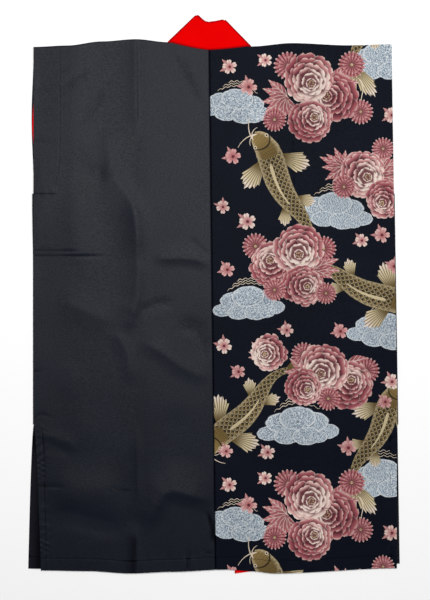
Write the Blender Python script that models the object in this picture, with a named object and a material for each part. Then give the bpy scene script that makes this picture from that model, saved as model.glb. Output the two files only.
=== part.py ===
"""Sleeveless festival dance coat, laid flat with its back up.

X runs across the coat, +Y towards its collar and +Z up from the surface it lies on.
"Across" is measured from the middle of the footprint, to the right as seen from above,
and "down" from the shoulder line towards the hem. The back lies over the fronts. Each
half of the body is one length of cloth that folds over the shoulder, from the back hem
to the front hem, and the collar is one strip from hem to hem round the back of the neck.
"""

import math
from collections import namedtuple

import bmesh
import bpy

MM = 0.001
LEFT, RIGHT = -1, 1

# Sizes of the cut, in metres
BODY_LENGTH = 942 * MM  # shoulder line to hem
ARMHOLE_DEPTH = 268 * MM
SLIT_LENGTH = 262 * MM
NECK_HALF_WIDTH = 73 * MM
COLLAR_WIDTH = 50 * MM
FACING_WIDTH = 50 * MM
FACING_SETBACK = 1.3 * MM  # the facing stops short of the armhole's edge

# Thicknesses, in metres
CLOTH = 1.2 * MM
COLLAR_CLOTH = 2.0 * MM  # the strip is folded double
FACING_CLOTH = 1.0 * MM
GAP = 0.3 * MM  # between pieces that are sewn together or lie on each other

# Places
SHOULDER_Y = 446.4 * MM  # puts the middle of the footprint at the origin
SEAM_AT_SHOULDER = -8.4 * MM  # the centre back seam leans a little
SEAM_AT_HEM = 2.8 * MM
BAND_SPREAD = 11.2 * MM  # how much further out the collar's seams lie at the hem
SLIT_TOP = BODY_LENGTH - SLIT_LENGTH
MITRE_START = 36 * MM  # down from the shoulder line, where the collar starts to turn

# How the back settles on what is under it: it stays up over a strip and a margin
# beyond it, then comes down over the reach.
BAND_MARGIN, BAND_REACH = 24 * MM, 35 * MM
FACING_MARGIN, FACING_REACH = 16 * MM, 36 * MM
SLACK, SLACK_REACH = 1.3 * MM, 34 * MM  # how much it lifts inside its sewn edges
SOFTNESS = 0.5 * MM  # rounds the places where a trough meets the layer below

# How finely each sheet is divided
LEFT_COLUMN = 15 * MM
LEFT_ROW = 18 * MM
RIGHT_COLUMN = 21 * MM
RIGHT_ROW = 26 * MM
BAND_ROW = 90 * MM
FACING_ROW = 45 * MM
FOLD_STEPS = 4  # faces round each fold
BAND_STEPS = 3  # faces across the collar
MITRE_SHARES = (0.3, 0.6, 0.85)  # rows where the collar turns towards its mitre
SHARP = math.radians(50)

# Outer edges, in millimetres: where each starts at the shoulder, how far it leans out
# by the hem, what the slit adds at the hem, and how far it bulges beside the armhole.
SideEdge = namedtuple("SideEdge", "start lean slit_kick armhole_bulge")
SIDE_EDGES = {
    (LEFT, "back"): SideEdge(start=322, lean=0, slit_kick=-13, armhole_bulge=0),
    (LEFT, "front"): SideEdge(start=322, lean=0, slit_kick=10, armhole_bulge=4),
    (RIGHT, "back"): SideEdge(start=317, lean=15, slit_kick=-5.5, armhole_bulge=0),
    (RIGHT, "front"): SideEdge(start=317, lean=15, slit_kick=0, armhole_bulge=0),
}

# Outlines as rows of (across, down), in millimetres
SHOULDER_LINE = ((-322, 6), (-262, 3.5), (-200, -4), (-140, -8), (-82, -2.5), (67, 5), (140, -1), (240, 3), (320, 1))
BACK_HEM = ((-310, 941), (-225, 942), (-150, 946), (-75, 943), (21, 939), (68, 942), (109, 946), (326, 937))
LEFT_FRONT_HEM = ((-332, 938), (-80, 938))
RIGHT_FRONT_HEM = ((85, 939), (332, 929))
NECKLINE_DOWN = 12 * MM  # at the centre back seam
NECKLINE_POWER = 1.4
COLLAR_ENDS = {LEFT: (938, 936), RIGHT: (946, 940)}  # down at the free and the sewn edge

SLIT_CURVE = 0.6  # below 1, most of the kick comes near the top of the slit

# The large folds: a ridge, or a trough where the height is negative, along the line
# through its points, in millimetres across and down.
Fold = namedtuple("Fold", "half_width height points")
FOLDS = (
    Fold(11, 1.8, ((-141, -10), (-136, 170), (-137, 250))),
    Fold(13, 2.2, ((-188, 175), (-170, 254), (-140, 303), (-134, 428), (-145, 500))),
    Fold(24, -1.4, ((-206, 215), (-182, 330), (-165, 400), (-168, 500))),
    Fold(13, 1.6, ((-143, 590), (-135, 760), (-133, 945))),
    Fold(12, -1.3, ((-160, 560), (-153, 700), (-150, 945))),
    Fold(10, -1.6, ((-122, 380), (-95, 393), (-59, 387), (-30, 387), (-7, 402))),
    Fold(12, 1.1, ((-118, 362), (-80, 372), (-30, 366))),
    Fold(9, -1.2, ((-322, 374), (-262, 374), (-200, 379))),
    Fold(20, -1.2, ((-276, 471), (-230, 478), (-184, 498))),
    Fold(12, -1.5, ((-129, 526), (-88, 541), (-45, 582), (-11, 603))),
    Fold(14, 1.0, ((-100, 500), (-60, 540), (-25, 560))),
    Fold(16, -1.0, ((-227, 136), (-190, 90), (-157, 59))),
    Fold(14, -1.0, ((-66, 30), (-25, 93))),
    Fold(16, 1.1, ((-300, 806), (-222, 808), (-150, 800))),
    Fold(18, -1.6, ((-300, 845), (-222, 848), (-150, 856))),
    Fold(12, 1.5, ((-136, 822), (-88, 800), (-20, 803))),
    Fold(13, -1.3, ((-136, 846), (-88, 822), (-11, 824))),
    Fold(14, 1.5, ((140, -10), (143, 300), (149, 620), (152, 945))),
    Fold(18, -0.9, ((118, 60), (122, 420), (128, 800))),
    Fold(12, -0.9, ((0, 392), (120, 386), (322, 384))),
    Fold(16, 0.9, ((30, 792), (160, 800), (326, 790))),
    Fold(20, 0.9, ((268, 130), (284, 420), (290, 760))),
)

# The mitred corners of the collar at the ends of the shoulders, in millimetres: each
# fold runs from the neck corner to the peak.
Mitre = namedtuple("Mitre", "corner_across corner_down peak_across peak_down")
MITRES = {
    LEFT: Mitre(corner_across=-80.2, corner_down=-2.5, peak_across=-28.5, peak_down=-51.5),
    RIGHT: Mitre(corner_across=63.4, corner_down=4.8, peak_across=17, peak_down=-42),
}

# The collar behind the neck, from the left corner to the right one
CollarSection = namedtuple("CollarSection", "neckline_share top_across top_down")
COLLAR_SECTIONS = (
    CollarSection(neckline_share=0.14, top_across=-24, top_down=-47.5),
    CollarSection(neckline_share=0.30, top_across=-17, top_down=-41),
    CollarSection(neckline_share=0.50, top_across=-9, top_down=-38.5),
    CollarSection(neckline_share=0.72, top_across=3, top_down=-40.5),
    CollarSection(neckline_share=0.90, top_across=11, top_down=-41.8),
)

PLAIN_SATIN = ("plain_satin", (0.030, 0.032, 0.037), 0.45)
PRINTED_SATIN = ("printed_satin", (0.012, 0.015, 0.026), 0.5)
RED_CLOTH = ("red_cloth", (0.83, 0.004, 0.004), 0.7)


def clear_scene():
    for item in list(bpy.data.objects):
        bpy.data.objects.remove(item)


def cloth_material(name, colour, roughness):
    material = bpy.data.materials.new(name)
    material.use_nodes = True
    shader = material.node_tree.nodes["Principled BSDF"]
    shader.inputs["Base Color"].default_value = (*colour, 1)
    shader.inputs["Roughness"].default_value = roughness
    shader.inputs["Metallic"].default_value = 0
    return material


def mix(start, end, share):
    return start + (end - start) * share


def smooth(share):
    """0 to 1 with level ends."""
    share = min(1, max(0, share))
    return share * share * (3 - 2 * share)


def along(table, across):
    """The down value of an outline table at this place, in metres."""
    position = across / MM
    if position <= table[0][0]:
        return table[0][1] * MM
    for (start, low), (end, high) in zip(table, table[1:]):
        if position <= end:
            return mix(low, high, smooth((position - start) / (end - start))) * MM
    return table[-1][1] * MM


def seam_across(down):
    return mix(SEAM_AT_SHOULDER, SEAM_AT_HEM, down / BODY_LENGTH)


def edge_across(side, layer, down):
    """The outer edge of a half of the body, on the back or the front."""
    edge = SIDE_EDGES[side, layer]
    opened = max(0, down - SLIT_TOP) / SLIT_LENGTH
    bulge = math.sin(math.pi * min(1, max(0, down / ARMHOLE_DEPTH))) ** 2
    out = edge.start + edge.lean * down / BODY_LENGTH
    out += edge.slit_kick * opened**SLIT_CURVE + edge.armhole_bulge * bulge
    return side * out * MM


def band_offset(down):
    """How far the collar's seam lies from the centre seam, on the fronts."""
    return NECK_HALF_WIDTH + BAND_SPREAD * down / BODY_LENGTH


def point_to_line(across, down, points):
    """Distance in millimetres from a place to a line through points."""
    nearest = math.inf
    for (x0, y0), (x1, y1) in zip(points, points[1:]):
        dx, dy = x1 - x0, y1 - y0
        share = ((across - x0) * dx + (down - y0) * dy) / (dx * dx + dy * dy)
        share = min(1, max(0, share))
        nearest = min(nearest, math.hypot(across - x0 - share * dx, down - y0 - share * dy))
    return nearest


def fold_height(across, down):
    """What the large folds add to the back, in metres."""
    total = 0
    for fold in FOLDS:
        distance = point_to_line(across / MM, down / MM, fold.points)
        total += fold.height * math.exp(-((distance / fold.half_width) ** 2))
    return total * MM


def support_height(side, across, down):
    """The lowest that the middle of the back's cloth can lie on what is under it."""
    on_fronts = CLOTH + GAP + CLOTH / 2
    on_bands = COLLAR_CLOTH + GAP + CLOTH / 2
    on_facing = CLOTH + 2 * FACING_CLOTH + 3 * GAP + CLOTH / 2
    beyond_band = abs(across - seam_across(down)) - NECK_HALF_WIDTH - BAND_SPREAD
    over_band = 1 - smooth((beyond_band - BAND_MARGIN) / BAND_REACH)
    height = mix(on_fronts, on_bands, over_band)
    if side == LEFT:
        inside = across - edge_across(LEFT, "back", down)
        over_facing = 1 - smooth((inside - FACING_WIDTH - FACING_MARGIN) / FACING_REACH)
        over_facing *= 1 - smooth((down - ARMHOLE_DEPTH - FACING_MARGIN) / FACING_REACH)
        height = mix(height, on_facing, over_facing)
    return height


def back_height(side, across, down):
    """The middle of the back's cloth above the floor, folds and all."""
    inside = side * (edge_across(side, "back", down) - across)
    rise = SLACK * smooth(inside / SLACK_REACH) + fold_height(across, down)
    return support_height(side, across, down) + (rise + math.hypot(rise, SOFTNESS)) / 2


def spread(length, spacing):
    """Even shares from 0 to 1 for pieces of about this spacing."""
    count = max(1, round(length / spacing))
    return [step / count for step in range(count + 1)]


def place(across, down, height):
    return (across, SHOULDER_Y - down, height)


def grid(rows):
    """Number a sheet's points and join them into faces. None marks where it has no cloth."""
    index, points, faces = {}, [], []
    for r, row in enumerate(rows):
        for c, point in enumerate(row):
            if point is not None:
                index[r, c] = len(points)
                points.append(point)
    for r in range(len(rows) - 1):
        for c in range(len(rows[0]) - 1):
            corners = [(r, c), (r, c + 1), (r + 1, c + 1), (r + 1, c)]
            if all(corner in index for corner in corners):
                faces.append([index[corner] for corner in corners])
    return index, points, faces


def cloth_object(name, points, faces, thickness, material):
    """A wall of cloth of even thickness, half on each side of the sheet's points."""
    mesh = bpy.data.meshes.new(name)
    mesh.from_pydata(points, [], faces)
    edited = bmesh.new()
    edited.from_mesh(mesh)
    bmesh.ops.recalc_face_normals(edited, faces=edited.faces)
    edited.to_mesh(mesh)
    edited.free()
    mesh.materials.append(material)
    mesh.shade_smooth()
    mesh.set_sharp_from_angle(angle=SHARP)
    item = bpy.data.objects.new(name, mesh)
    bpy.context.collection.objects.link(item)
    wall = item.modifiers.new("Cloth thickness", "SOLIDIFY")
    wall.thickness = thickness
    wall.offset = 0
    wall.use_even_offset = True
    wall.use_quality_normals = True
    return item


def body_columns(side, spacing):
    """Shares of the way from the centre seam to the side, with one at the neck corner."""
    width = abs(edge_across(side, "back", 0) - seam_across(0))
    neck = (NECK_HALF_WIDTH + GAP) / width
    inner = [neck * share for share in spread(neck * width, spacing)]
    outer = [mix(neck, 1, share) for share in spread((1 - neck) * width, spacing)]
    return inner + outer[1:], len(inner) - 1


def body_levels(spacing):
    """Stages up the body as (part, share): the slit, the side seam, then the armhole."""
    levels = [(0, 0)]
    for part, length in enumerate((SLIT_LENGTH, SLIT_TOP - ARMHOLE_DEPTH, ARMHOLE_DEPTH)):
        levels += [(part, share) for share in spread(length, spacing)[1:]]
    return levels


def level_down(level, hem, top):
    part, share = level
    stops = (hem, SLIT_TOP, ARMHOLE_DEPTH, top)
    return mix(stops[part], stops[part + 1], share)


def body_half(side, name, column, row, material):
    """One half of the body: up the back, over the shoulder and down the front."""
    shares, neck_column = body_columns(side, column)
    neck_share = shares[neck_column]
    front_hem = LEFT_FRONT_HEM if side == LEFT else RIGHT_FRONT_HEM

    def back_across(share, down):
        inner = seam_across(down) + side * GAP / 2
        return mix(inner, edge_across(side, "back", down), share)

    def front_across(share, down):
        inner = seam_across(down) + side * (band_offset(down) + GAP)
        outward = (share - neck_share) / (1 - neck_share)
        return mix(inner, edge_across(side, "front", down), outward)

    def fold_radius(share):
        """Half the height between the layers where the cloth turns over the shoulder."""
        return (back_height(side, back_across(share, 0), 0) - CLOTH / 2) / 2

    def top_of_column(share):
        """Where the column's cloth ends at the neckline, or starts to fold over."""
        if share < neck_share:
            corner_down = along(SHOULDER_LINE, back_across(neck_share, 0))
            return mix(NECKLINE_DOWN, corner_down, (share / neck_share) ** NECKLINE_POWER)
        return along(SHOULDER_LINE, back_across(share, 0)) + fold_radius(share) + CLOTH / 2

    rows = []
    levels = body_levels(row)
    for level in levels:
        points = []
        for share in shares:
            hem = along(BACK_HEM, back_across(share, BODY_LENGTH))
            down = level_down(level, hem, top_of_column(share))
            across = back_across(share, down)
            points.append(place(across, down, back_height(side, across, down)))
        rows.append(points)
    for step in range(1, FOLD_STEPS + 1):
        turn = math.pi * step / FOLD_STEPS
        points = [None] * neck_column
        for share in shares[neck_column:]:
            down, radius = top_of_column(share), fold_radius(share)
            height = CLOTH / 2 + radius * (1 + math.cos(turn))
            points.append(place(back_across(share, down), down - radius * math.sin(turn), height))
        rows.append(points)
    for level in levels[-2::-1]:
        points = [None] * neck_column
        for share in shares[neck_column:]:
            hem = along(front_hem, front_across(share, BODY_LENGTH))
            down = level_down(level, hem, top_of_column(share))
            points.append(place(front_across(share, down), down, CLOTH / 2))
        rows.append(points)

    index, points, faces = grid(rows)
    outer = len(shares) - 1
    edges = []
    for r, level in enumerate(levels):
        if level == (0, 1) or level[0] == 1:
            back, front = index[r, outer], index[len(rows) - 1 - r, outer]
            across, along_y, high = points[back]
            radius = (high - CLOTH / 2) / 2
            edges.append((back, len(points), front))
            points.append((across + side * radius, along_y, high - radius))
    for (a, b, c), (d, e, f) in zip(edges, edges[1:]):
        faces += [[a, b, e, d], [b, c, f, e]]
    return cloth_object(name, points, faces, CLOTH, material)


def strip_row(sewn, free, height, shift=(0, 0)):
    """One row of the collar from its sewn edge to its free edge, both (across, down)."""
    row = []
    for step in range(BAND_STEPS + 1):
        share = step / BAND_STEPS
        across = mix(sewn[0], free[0], share) + shift[0]
        down = mix(sewn[1], free[1], share) + shift[1]
        row.append(place(across, down, height))
    return row


def band_rows(side):
    """The collar on one front, from its hem end up to the mitre."""
    mitre = MITRES[side]
    free_end, sewn_end = (value * MM for value in COLLAR_ENDS[side])
    rows = []
    for climb in spread(BODY_LENGTH, BAND_ROW):
        sewn_down = mix(sewn_end, MITRE_START, climb)
        free_down = mix(free_end, MITRE_START, climb)
        sewn = seam_across(sewn_down) + side * (band_offset(sewn_down) - GAP / 2)
        free = seam_across(free_down) + side * (band_offset(free_down) - COLLAR_WIDTH)
        rows.append(((sewn, sewn_down), (free, free_down)))
    (sewn_across, _), (free_across, _) = rows[-1]
    corner = (mitre.corner_across * MM, mitre.corner_down * MM)
    peak = (mitre.peak_across * MM, mitre.peak_down * MM)
    for share in MITRE_SHARES:
        turned = math.sin(share * math.pi / 2)
        sewn = (mix(sewn_across, corner[0], share), mix(MITRE_START, corner[1], share))
        free = (mix(free_across, peak[0], share**2), mix(MITRE_START, peak[1], turned))
        rows.append((sewn, free))
    rows.append((corner, peak))
    return rows


def in_metres(*values):
    return tuple(value * MM for value in values)


def collar():
    """One strip: up a front, mitred at the neck corner, across, and down the other front."""
    low = COLLAR_CLOTH / 2
    high = low + COLLAR_CLOTH + GAP
    radius = (high - low) / 2

    def mitre_ends(side):
        mitre = MITRES[side]
        return (in_metres(mitre.corner_across, mitre.corner_down),
                in_metres(mitre.peak_across, mitre.peak_down))

    def mitre_rows(side):
        """The turn from the lower layer to the upper one, round the fold's own line."""
        corner, peak = mitre_ends(side)
        run = (peak[0] - corner[0], peak[1] - corner[1])
        length = math.hypot(*run)
        outward = (side * abs(run[1]) / length, -abs(run[0]) / length)
        turned = []
        for step in range(1, FOLD_STEPS):
            turn = math.pi * step / FOLD_STEPS
            out = radius * math.sin(turn)
            shift = (outward[0] * out, outward[1] * out)
            height = low + radius * (1 - math.cos(turn))
            turned.append(strip_row(corner, peak, height, shift))
        return turned

    def neck_rows():
        """Behind the neck, where the sewn edge follows the neckline of the backs."""
        turned = [strip_row(*mitre_ends(LEFT), high)]
        start, end = MITRES[LEFT].corner_across, MITRES[RIGHT].corner_across
        for section in COLLAR_SECTIONS:
            across = mix(start, end, section.neckline_share) * MM
            side = LEFT if across < SEAM_AT_SHOULDER else RIGHT
            corner_down = along(SHOULDER_LINE, SEAM_AT_SHOULDER + side * (NECK_HALF_WIDTH + GAP))
            out = abs(across - SEAM_AT_SHOULDER) / NECK_HALF_WIDTH
            down = mix(NECKLINE_DOWN, corner_down, out**NECKLINE_POWER) - GAP
            top = in_metres(section.top_across, section.top_down)
            turned.append(strip_row((across, down), top, high))
        turned.append(strip_row(*mitre_ends(RIGHT), high))
        return turned

    rows = [strip_row(sewn, free, low) for sewn, free in band_rows(LEFT)]
    rows += mitre_rows(LEFT) + neck_rows() + mitre_rows(RIGHT)[::-1]
    rows += [strip_row(sewn, free, low) for sewn, free in band_rows(RIGHT)[::-1]]
    _, points, faces = grid(rows)
    return cloth_object("collar", points, faces, COLLAR_CLOTH, cloth_material(*RED_CLOTH))


def armhole_facing():
    """The red strip round the inside of the left armhole, doubled over at the shoulder."""
    low = CLOTH + GAP + FACING_CLOTH / 2
    high = low + FACING_CLOTH + GAP
    radius = (high - low) / 2
    shares = (0, 0.5, 1)

    def point(layer, share, down, height, shift=0):
        edge = edge_across(LEFT, layer, down) + FACING_SETBACK
        inner = edge_across(LEFT, "back", down) + FACING_WIDTH
        return place(mix(edge, inner, share), down - shift, height)

    def top(share):
        """The shoulder line, less the room that the body's own fold takes."""
        across = mix(edge_across(LEFT, "back", 0), edge_across(LEFT, "back", 0) + FACING_WIDTH, share)
        body_radius = (back_height(LEFT, across, 0) - CLOTH / 2) / 2
        return along(SHOULDER_LINE, across) + body_radius + CLOTH / 2

    end = ARMHOLE_DEPTH
    rows = []
    for climb in spread(end, FACING_ROW):
        rows.append([point("front", s, mix(end, top(s), climb), low) for s in shares])
    for step in range(1, FOLD_STEPS + 1):
        turn = math.pi * step / FOLD_STEPS
        height = low + radius * (1 - math.cos(turn))
        rows.append([point("back", s, top(s), height, radius * math.sin(turn)) for s in shares])
    for fall in spread(end, FACING_ROW)[1:]:
        rows.append([point("back", s, mix(top(s), end, fall), high) for s in shares])
    _, points, faces = grid(rows)
    return cloth_object("armhole_facing", points, faces, FACING_CLOTH, cloth_material(*RED_CLOTH))


def main():
    clear_scene()
    body_half(LEFT, "body_left", LEFT_COLUMN, LEFT_ROW, cloth_material(*PLAIN_SATIN))
    body_half(RIGHT, "body_right", RIGHT_COLUMN, RIGHT_ROW, cloth_material(*PRINTED_SATIN))
    collar()
    armhole_facing()


main()
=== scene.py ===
"""Looks of a sleeveless festival dance coat that lies flat with its back up.

Across is measured to the right of the middle, down from the shoulder line to the hem,
and all tables and helpers work in millimetres until the points are placed.
"""

import itertools
import math
import random
from collections import namedtuple

import bmesh
import bpy
import numpy as np
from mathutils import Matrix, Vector
from mathutils.bvhtree import BVHTree
from mathutils.geometry import delaunay_2d_cdt


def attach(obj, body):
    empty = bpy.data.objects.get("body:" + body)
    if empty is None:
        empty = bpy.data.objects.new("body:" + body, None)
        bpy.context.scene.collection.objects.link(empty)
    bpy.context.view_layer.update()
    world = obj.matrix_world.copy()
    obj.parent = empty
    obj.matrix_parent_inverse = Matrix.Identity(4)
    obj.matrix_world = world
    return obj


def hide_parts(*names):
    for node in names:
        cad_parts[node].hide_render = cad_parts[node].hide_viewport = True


bl_info = {
    "name": "Festival Dance Coat",
    "version": (1, 0, 0),
    "blender": (4, 5, 0),
    "location": "View3D > Sidebar > Dance Coat",
    "description": "Satin halves, printed blossoms and carp, red collar, facing and stitching",
    "category": "Object",
}

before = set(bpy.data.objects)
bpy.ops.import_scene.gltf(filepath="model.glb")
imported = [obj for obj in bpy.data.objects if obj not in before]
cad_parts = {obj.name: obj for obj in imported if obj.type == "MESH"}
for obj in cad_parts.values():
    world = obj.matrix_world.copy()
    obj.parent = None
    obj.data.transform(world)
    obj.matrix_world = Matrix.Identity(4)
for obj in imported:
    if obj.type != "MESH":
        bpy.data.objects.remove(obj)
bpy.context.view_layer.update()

MM = 0.001
LEFT, RIGHT = -1, 1
BODY = "root"

# The camera's frame, from the photograph's own proportions
VIEW_MIDDLE = (0.0018, -0.0116)
VIEW_HEIGHT = 1.0726
CAMERA_HEIGHT = 2.6
SENSOR = 36.0
WORLD_LIGHT = 0.16
SOFTBOX_PLACE = (0.10, 0.80, 3.1)
SOFTBOX_SIZE = (2.06, 1.9)
SOFTBOX_POWER = 109

# Where the cut lies, in millimetres
SHOULDER_Y = 446.4
SEAM_AT_SHOULDER, SEAM_AT_HEM = -8.4, 2.8
BAND_SPREAD = 11.2
MITRE_START = 36
BAND_MARGIN, BAND_REACH = 24, 35
FACING_MARGIN, FACING_REACH, FACING_END_REACH = 16, 60, 120
SLACK, SLACK_REACH = 1.0, 110
SOFTNESS = 0.5
SLIT_CURVE = 0.6
NECKLINE_DOWN, NECKLINE_POWER = 12, 1.4
GAP = 0.3

SideEdge = namedtuple("SideEdge", "start lean slit_kick armhole_bulge")
SIDE_EDGES = {
    (LEFT, "back"): SideEdge(start=322, lean=0, slit_kick=-13, armhole_bulge=0),
    (LEFT, "front"): SideEdge(start=322, lean=0, slit_kick=10, armhole_bulge=4),
    (RIGHT, "back"): SideEdge(start=317, lean=15, slit_kick=-5.5, armhole_bulge=0),
    (RIGHT, "front"): SideEdge(start=317, lean=15, slit_kick=0, armhole_bulge=0),
}

# Outlines as rows of (across, down)
SHOULDER_LINE = (
    (-322, 6), (-262, 3.5), (-200, -4), (-140, -8), (-82, -2.5),
    (67, 5), (140, -1), (240, 3), (320, 1),
)
BACK_HEM = (
    (-310, 941), (-225, 942), (-150, 946), (-75, 943),
    (21, 939), (68, 942), (109, 946), (326, 937),
)
FRONT_HEMS = {LEFT: ((-332, 938), (-80, 938)), RIGHT: ((85, 939), (332, 929))}
BACK_HEM_END, FRONT_HEM_START, FRONT_HEM_END = 326, 85, 332  # across on the printed half
COLLAR_ENDS = {LEFT: (938, 936), RIGHT: (946.5, 940)}  # down at the free and the sewn edge

# Soft ridges, and troughs where the height is negative, along lines of (across, down)
Fold = namedtuple("Fold", "half_width height points")
FOLDS = (
    Fold(9, -0.8, ((-219, 50), (-249, 64), (-272, 84))),
    Fold(8, -1.0, ((-197, 80), (-214, 108), (-234, 150))),
    Fold(17, -1.1, ((-252, 226), (-222, 232), (-186, 238))),
    Fold(8, -1.0, ((-70, 12), (-48, 56), (-22, 106))),
    Fold(4, -0.45, ((-400, 84), (-306, 83), (-280, 85))),
    Fold(6, -0.55, ((-400, 172), (-306, 174), (-276, 171))),
    Fold(2.2, -0.62, ((-400, 367), (-285, 368.5), (-258, 370), (-226, 372))),
    Fold(2.2, -0.58, ((-420, 379), (-300, 378), (-262, 378.5), (-222, 380), (-176, 381))),
    Fold(6, -0.7, ((-44, 346), (-26, 366), (-6, 384))),
    Fold(9, -0.85, ((-132, 488), (-118, 474), (-104, 466), (-68, 462))),
    Fold(14, -1.05, ((-78, 509), (-46, 505), (-26, 512), (-16, 532), (-10, 572))),
    Fold(3, -0.5, ((-380, 588), (-312, 584), (-294, 580))),
    Fold(3, -0.5, ((-360, 676), (-318, 665), (-310, 660), (-300, 663), (-284, 671))),
    Fold(9, -0.7, ((-318, 716), (-292, 722), (-248, 733))),
    Fold(3.8, -0.8, ((-380, 786), (-312, 789), (-290, 790), (-256, 793))),
    Fold(2.4, -0.1, ((-200, 803), (-190, 798), (-180, 794), (-166, 796), (-140, 799))),
    Fold(38, 2.3, ((-306, 800), (-222, 806), (-150, 800))),
    Fold(17, -2.0, ((-310, 853), (-257, 844), (-208, 858), (-148, 872))),
    Fold(5, -1.1, ((-16, 832), (-9, 846), (-1, 870), (-3, 902))),
    Fold(2.0, -0.15, ((-24, 906), (-12, 908), (2, 909))),
    Fold(2.8, -0.9, ((-44, 902), (-46, 920), (-49, 950))),
    Fold(3.2, 0.6, ((-51, 912), (-54, 950))),
    Fold(3.2, 0.6, ((-39, 912), (-42, 950))),
    Fold(26, 0.7, ((-262, 560), (-240, 640), (-230, 740))),
    Fold(26, -0.6, ((-60, 640), (-66, 720), (-58, 780))),
    Fold(22, 0.6, ((-232, 250), (-250, 320), (-236, 420))),
    # The printed half lies nearly smooth
    Fold(13, 0.9, ((138, -12), (143, 300), (149, 620), (152, 950))),
    Fold(18, -0.7, ((112, 50), (122, 420), (130, 830))),
    Fold(14, -0.6, ((40, 394), (120, 387), (240, 384), (335, 386))),
    Fold(20, 0.6, ((40, 792), (160, 800), (335, 788))),
    Fold(22, 0.7, ((266, 120), (284, 420), (290, 780))),
    Fold(2.4, -0.45, ((139.5, -6), (141, 120), (143, 262), (145, 330))),
    Fold(6, -0.5, ((262, -8), (264, 70), (258, 150))),
    Fold(7, -0.5, ((196, 450), (262, 470), (335, 461))),
    Fold(6, -0.45, ((34, 646), (90, 668), (170, 658))),
    Fold(3, -0.5, ((335, 700), (306, 705), (280, 700))),
    Fold(3, -0.5, ((335, 232), (304, 236), (284, 231))),
    Fold(8, 0.45, ((60, 170), (120, 210), (196, 224))),
)

# Sharp ridges that fall away differently on each side of someone who walks along them
Ridge = namedtuple("Ridge", "right_reach left_reach height points")
RIDGES = (
    Ridge(34, 6, 1.5, ((-142, -40), (-140.5, 50), (-139.5, 110), (-138, 176))),
    Ridge(64, 34, 1.6, (
        (-200, 146), (-189.5, 190), (-185.5, 214), (-181.5, 233), (-175, 248), (-166, 260),
        (-156, 272), (-148, 284), (-142.3, 298), (-139, 315), (-137.2, 342), (-136.8, 390))),
    Ridge(50, 24, 2.7, (
        (-166, 260), (-156, 272), (-148, 284), (-142.3, 298), (-139, 315), (-137.2, 342),
        (-136.8, 373), (-135.7, 409), (-138, 456), (-148, 494), (-162, 524))),
    Ridge(18, 34, 1.6, ((-116, 372), (-88, 384), (-60, 382), (-30, 386), (-6, 397), (6, 404))),
    Ridge(44, 50, 1.0, ((-286, 462), (-246, 470), (-208, 488), (-172, 500))),
    Ridge(24, 40, 1.1, ((-186, 500), (-168, 529), (-156, 554), (-152, 580), (-151, 616))),
    Ridge(24, 40, 1.05, ((-150, 534), (-120, 536), (-90, 554), (-60, 577), (-30, 592), (6, 602))),
    Ridge(20, 14, 0.8, ((-139, 672), (-137.5, 740), (-137, 790), (-139, 836))),
    Ridge(36, 14, 1.1, ((-141, 848), (-141, 900), (-141, 962))),
    Ridge(24, 66, 2.9, (
        (-128, 868), (-106, 836), (-90, 806), (-72, 799), (-50, 805), (-20, 813), (6, 818))),
    Ridge(20, 26, 0.8, ((-322, 694), (-296, 700), (-262, 712), (-232, 728))),
)

# Painted shade where the light hardly reaches, in hollows and beside folds, on one or both sides of
# a line
Shade = namedtuple("Shade", "right_reach left_reach dark points")
SHADES = (
    Shade(36, 3, 0.62, ((-141, 850), (-140.5, 900), (-140.5, 990))),
    Shade(22, 3, 0.38, ((-138, 660), (-137.5, 740), (-137, 790), (-139, 842))),
    Shade(30, 16, 0.20, ((-330, 846), (-257, 842), (-208, 856), (-150, 870))),
    Shade(10, 22, 0.22, ((-124, 864), (-104, 834), (-88, 810), (-50, 812), (-20, 818), (20, 822))),
    Shade(16, 4, 0.24, ((-186, 496), (-168, 527), (-156, 554), (-152, 600))),
    Shade(24, 10, 0.16, ((-150, 532), (-120, 536), (-90, 554), (-60, 577), (-30, 592), (20, 606))),
    Shade(9, 9, 0.80, ((-12, 826), (-8, 846), (-3, 866), (-2, 904))),
    Shade(24, 3, 0.14, ((-139, 300), (-136.8, 373), (-135.7, 409), (-138, 456))),
    Shade(14, 4, 0.16, ((-142, -60), (-140.5, 40), (-139.5, 110))),
    Shade(13, 9, 0.34, ((-88, -14), (-48, 56), (-8, 130))),
    Shade(13, 13, 0.34, ((-206, 44), (-249, 64), (-284, 96))),
    Shade(14, 14, 0.26, ((-188, 66), (-214, 108), (-242, 164))),
    Shade(18, 13, 0.34, ((-92, 510), (-46, 505), (-26, 512), (-16, 532), (-8, 592))),
    Shade(7, 7, 0.30, ((-400, 84), (-306, 83), (-268, 86))),
    Shade(8, 8, 0.30, ((-400, 172), (-306, 174), (-262, 170))),
)

TAPER_SHARE, TAPER_SHORTEST, TAPER_LONGEST = 0.34, 7, 55  # how a fold fades at its ends

Mitre = namedtuple("Mitre", "corner_across corner_down peak_across peak_down")
MITRES = {
    LEFT: Mitre(corner_across=-81.8, corner_down=-1.5, peak_across=-31.9, peak_down=-49.3),
    RIGHT: Mitre(corner_across=65.0, corner_down=5.7, peak_across=19.0, peak_down=-41.3),
}
# The collar behind the neck, as rows of (share of the neckline, across and down at its top)
COLLAR_SECTIONS = (
    (0.0, -31.9, -49.3), (0.03, -30.4, -50.9), (0.06, -28.2, -50.8), (0.10, -25.9, -49.0),
    (0.22, -20.6, -44.0), (0.34, -15.8, -40.4), (0.46, -10, -38.8), (0.70, 2.5, -40.4),
    (0.90, 12.6, -42.4), (0.96, 16.4, -42.9), (1.0, 19.0, -41.3),
)

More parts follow.
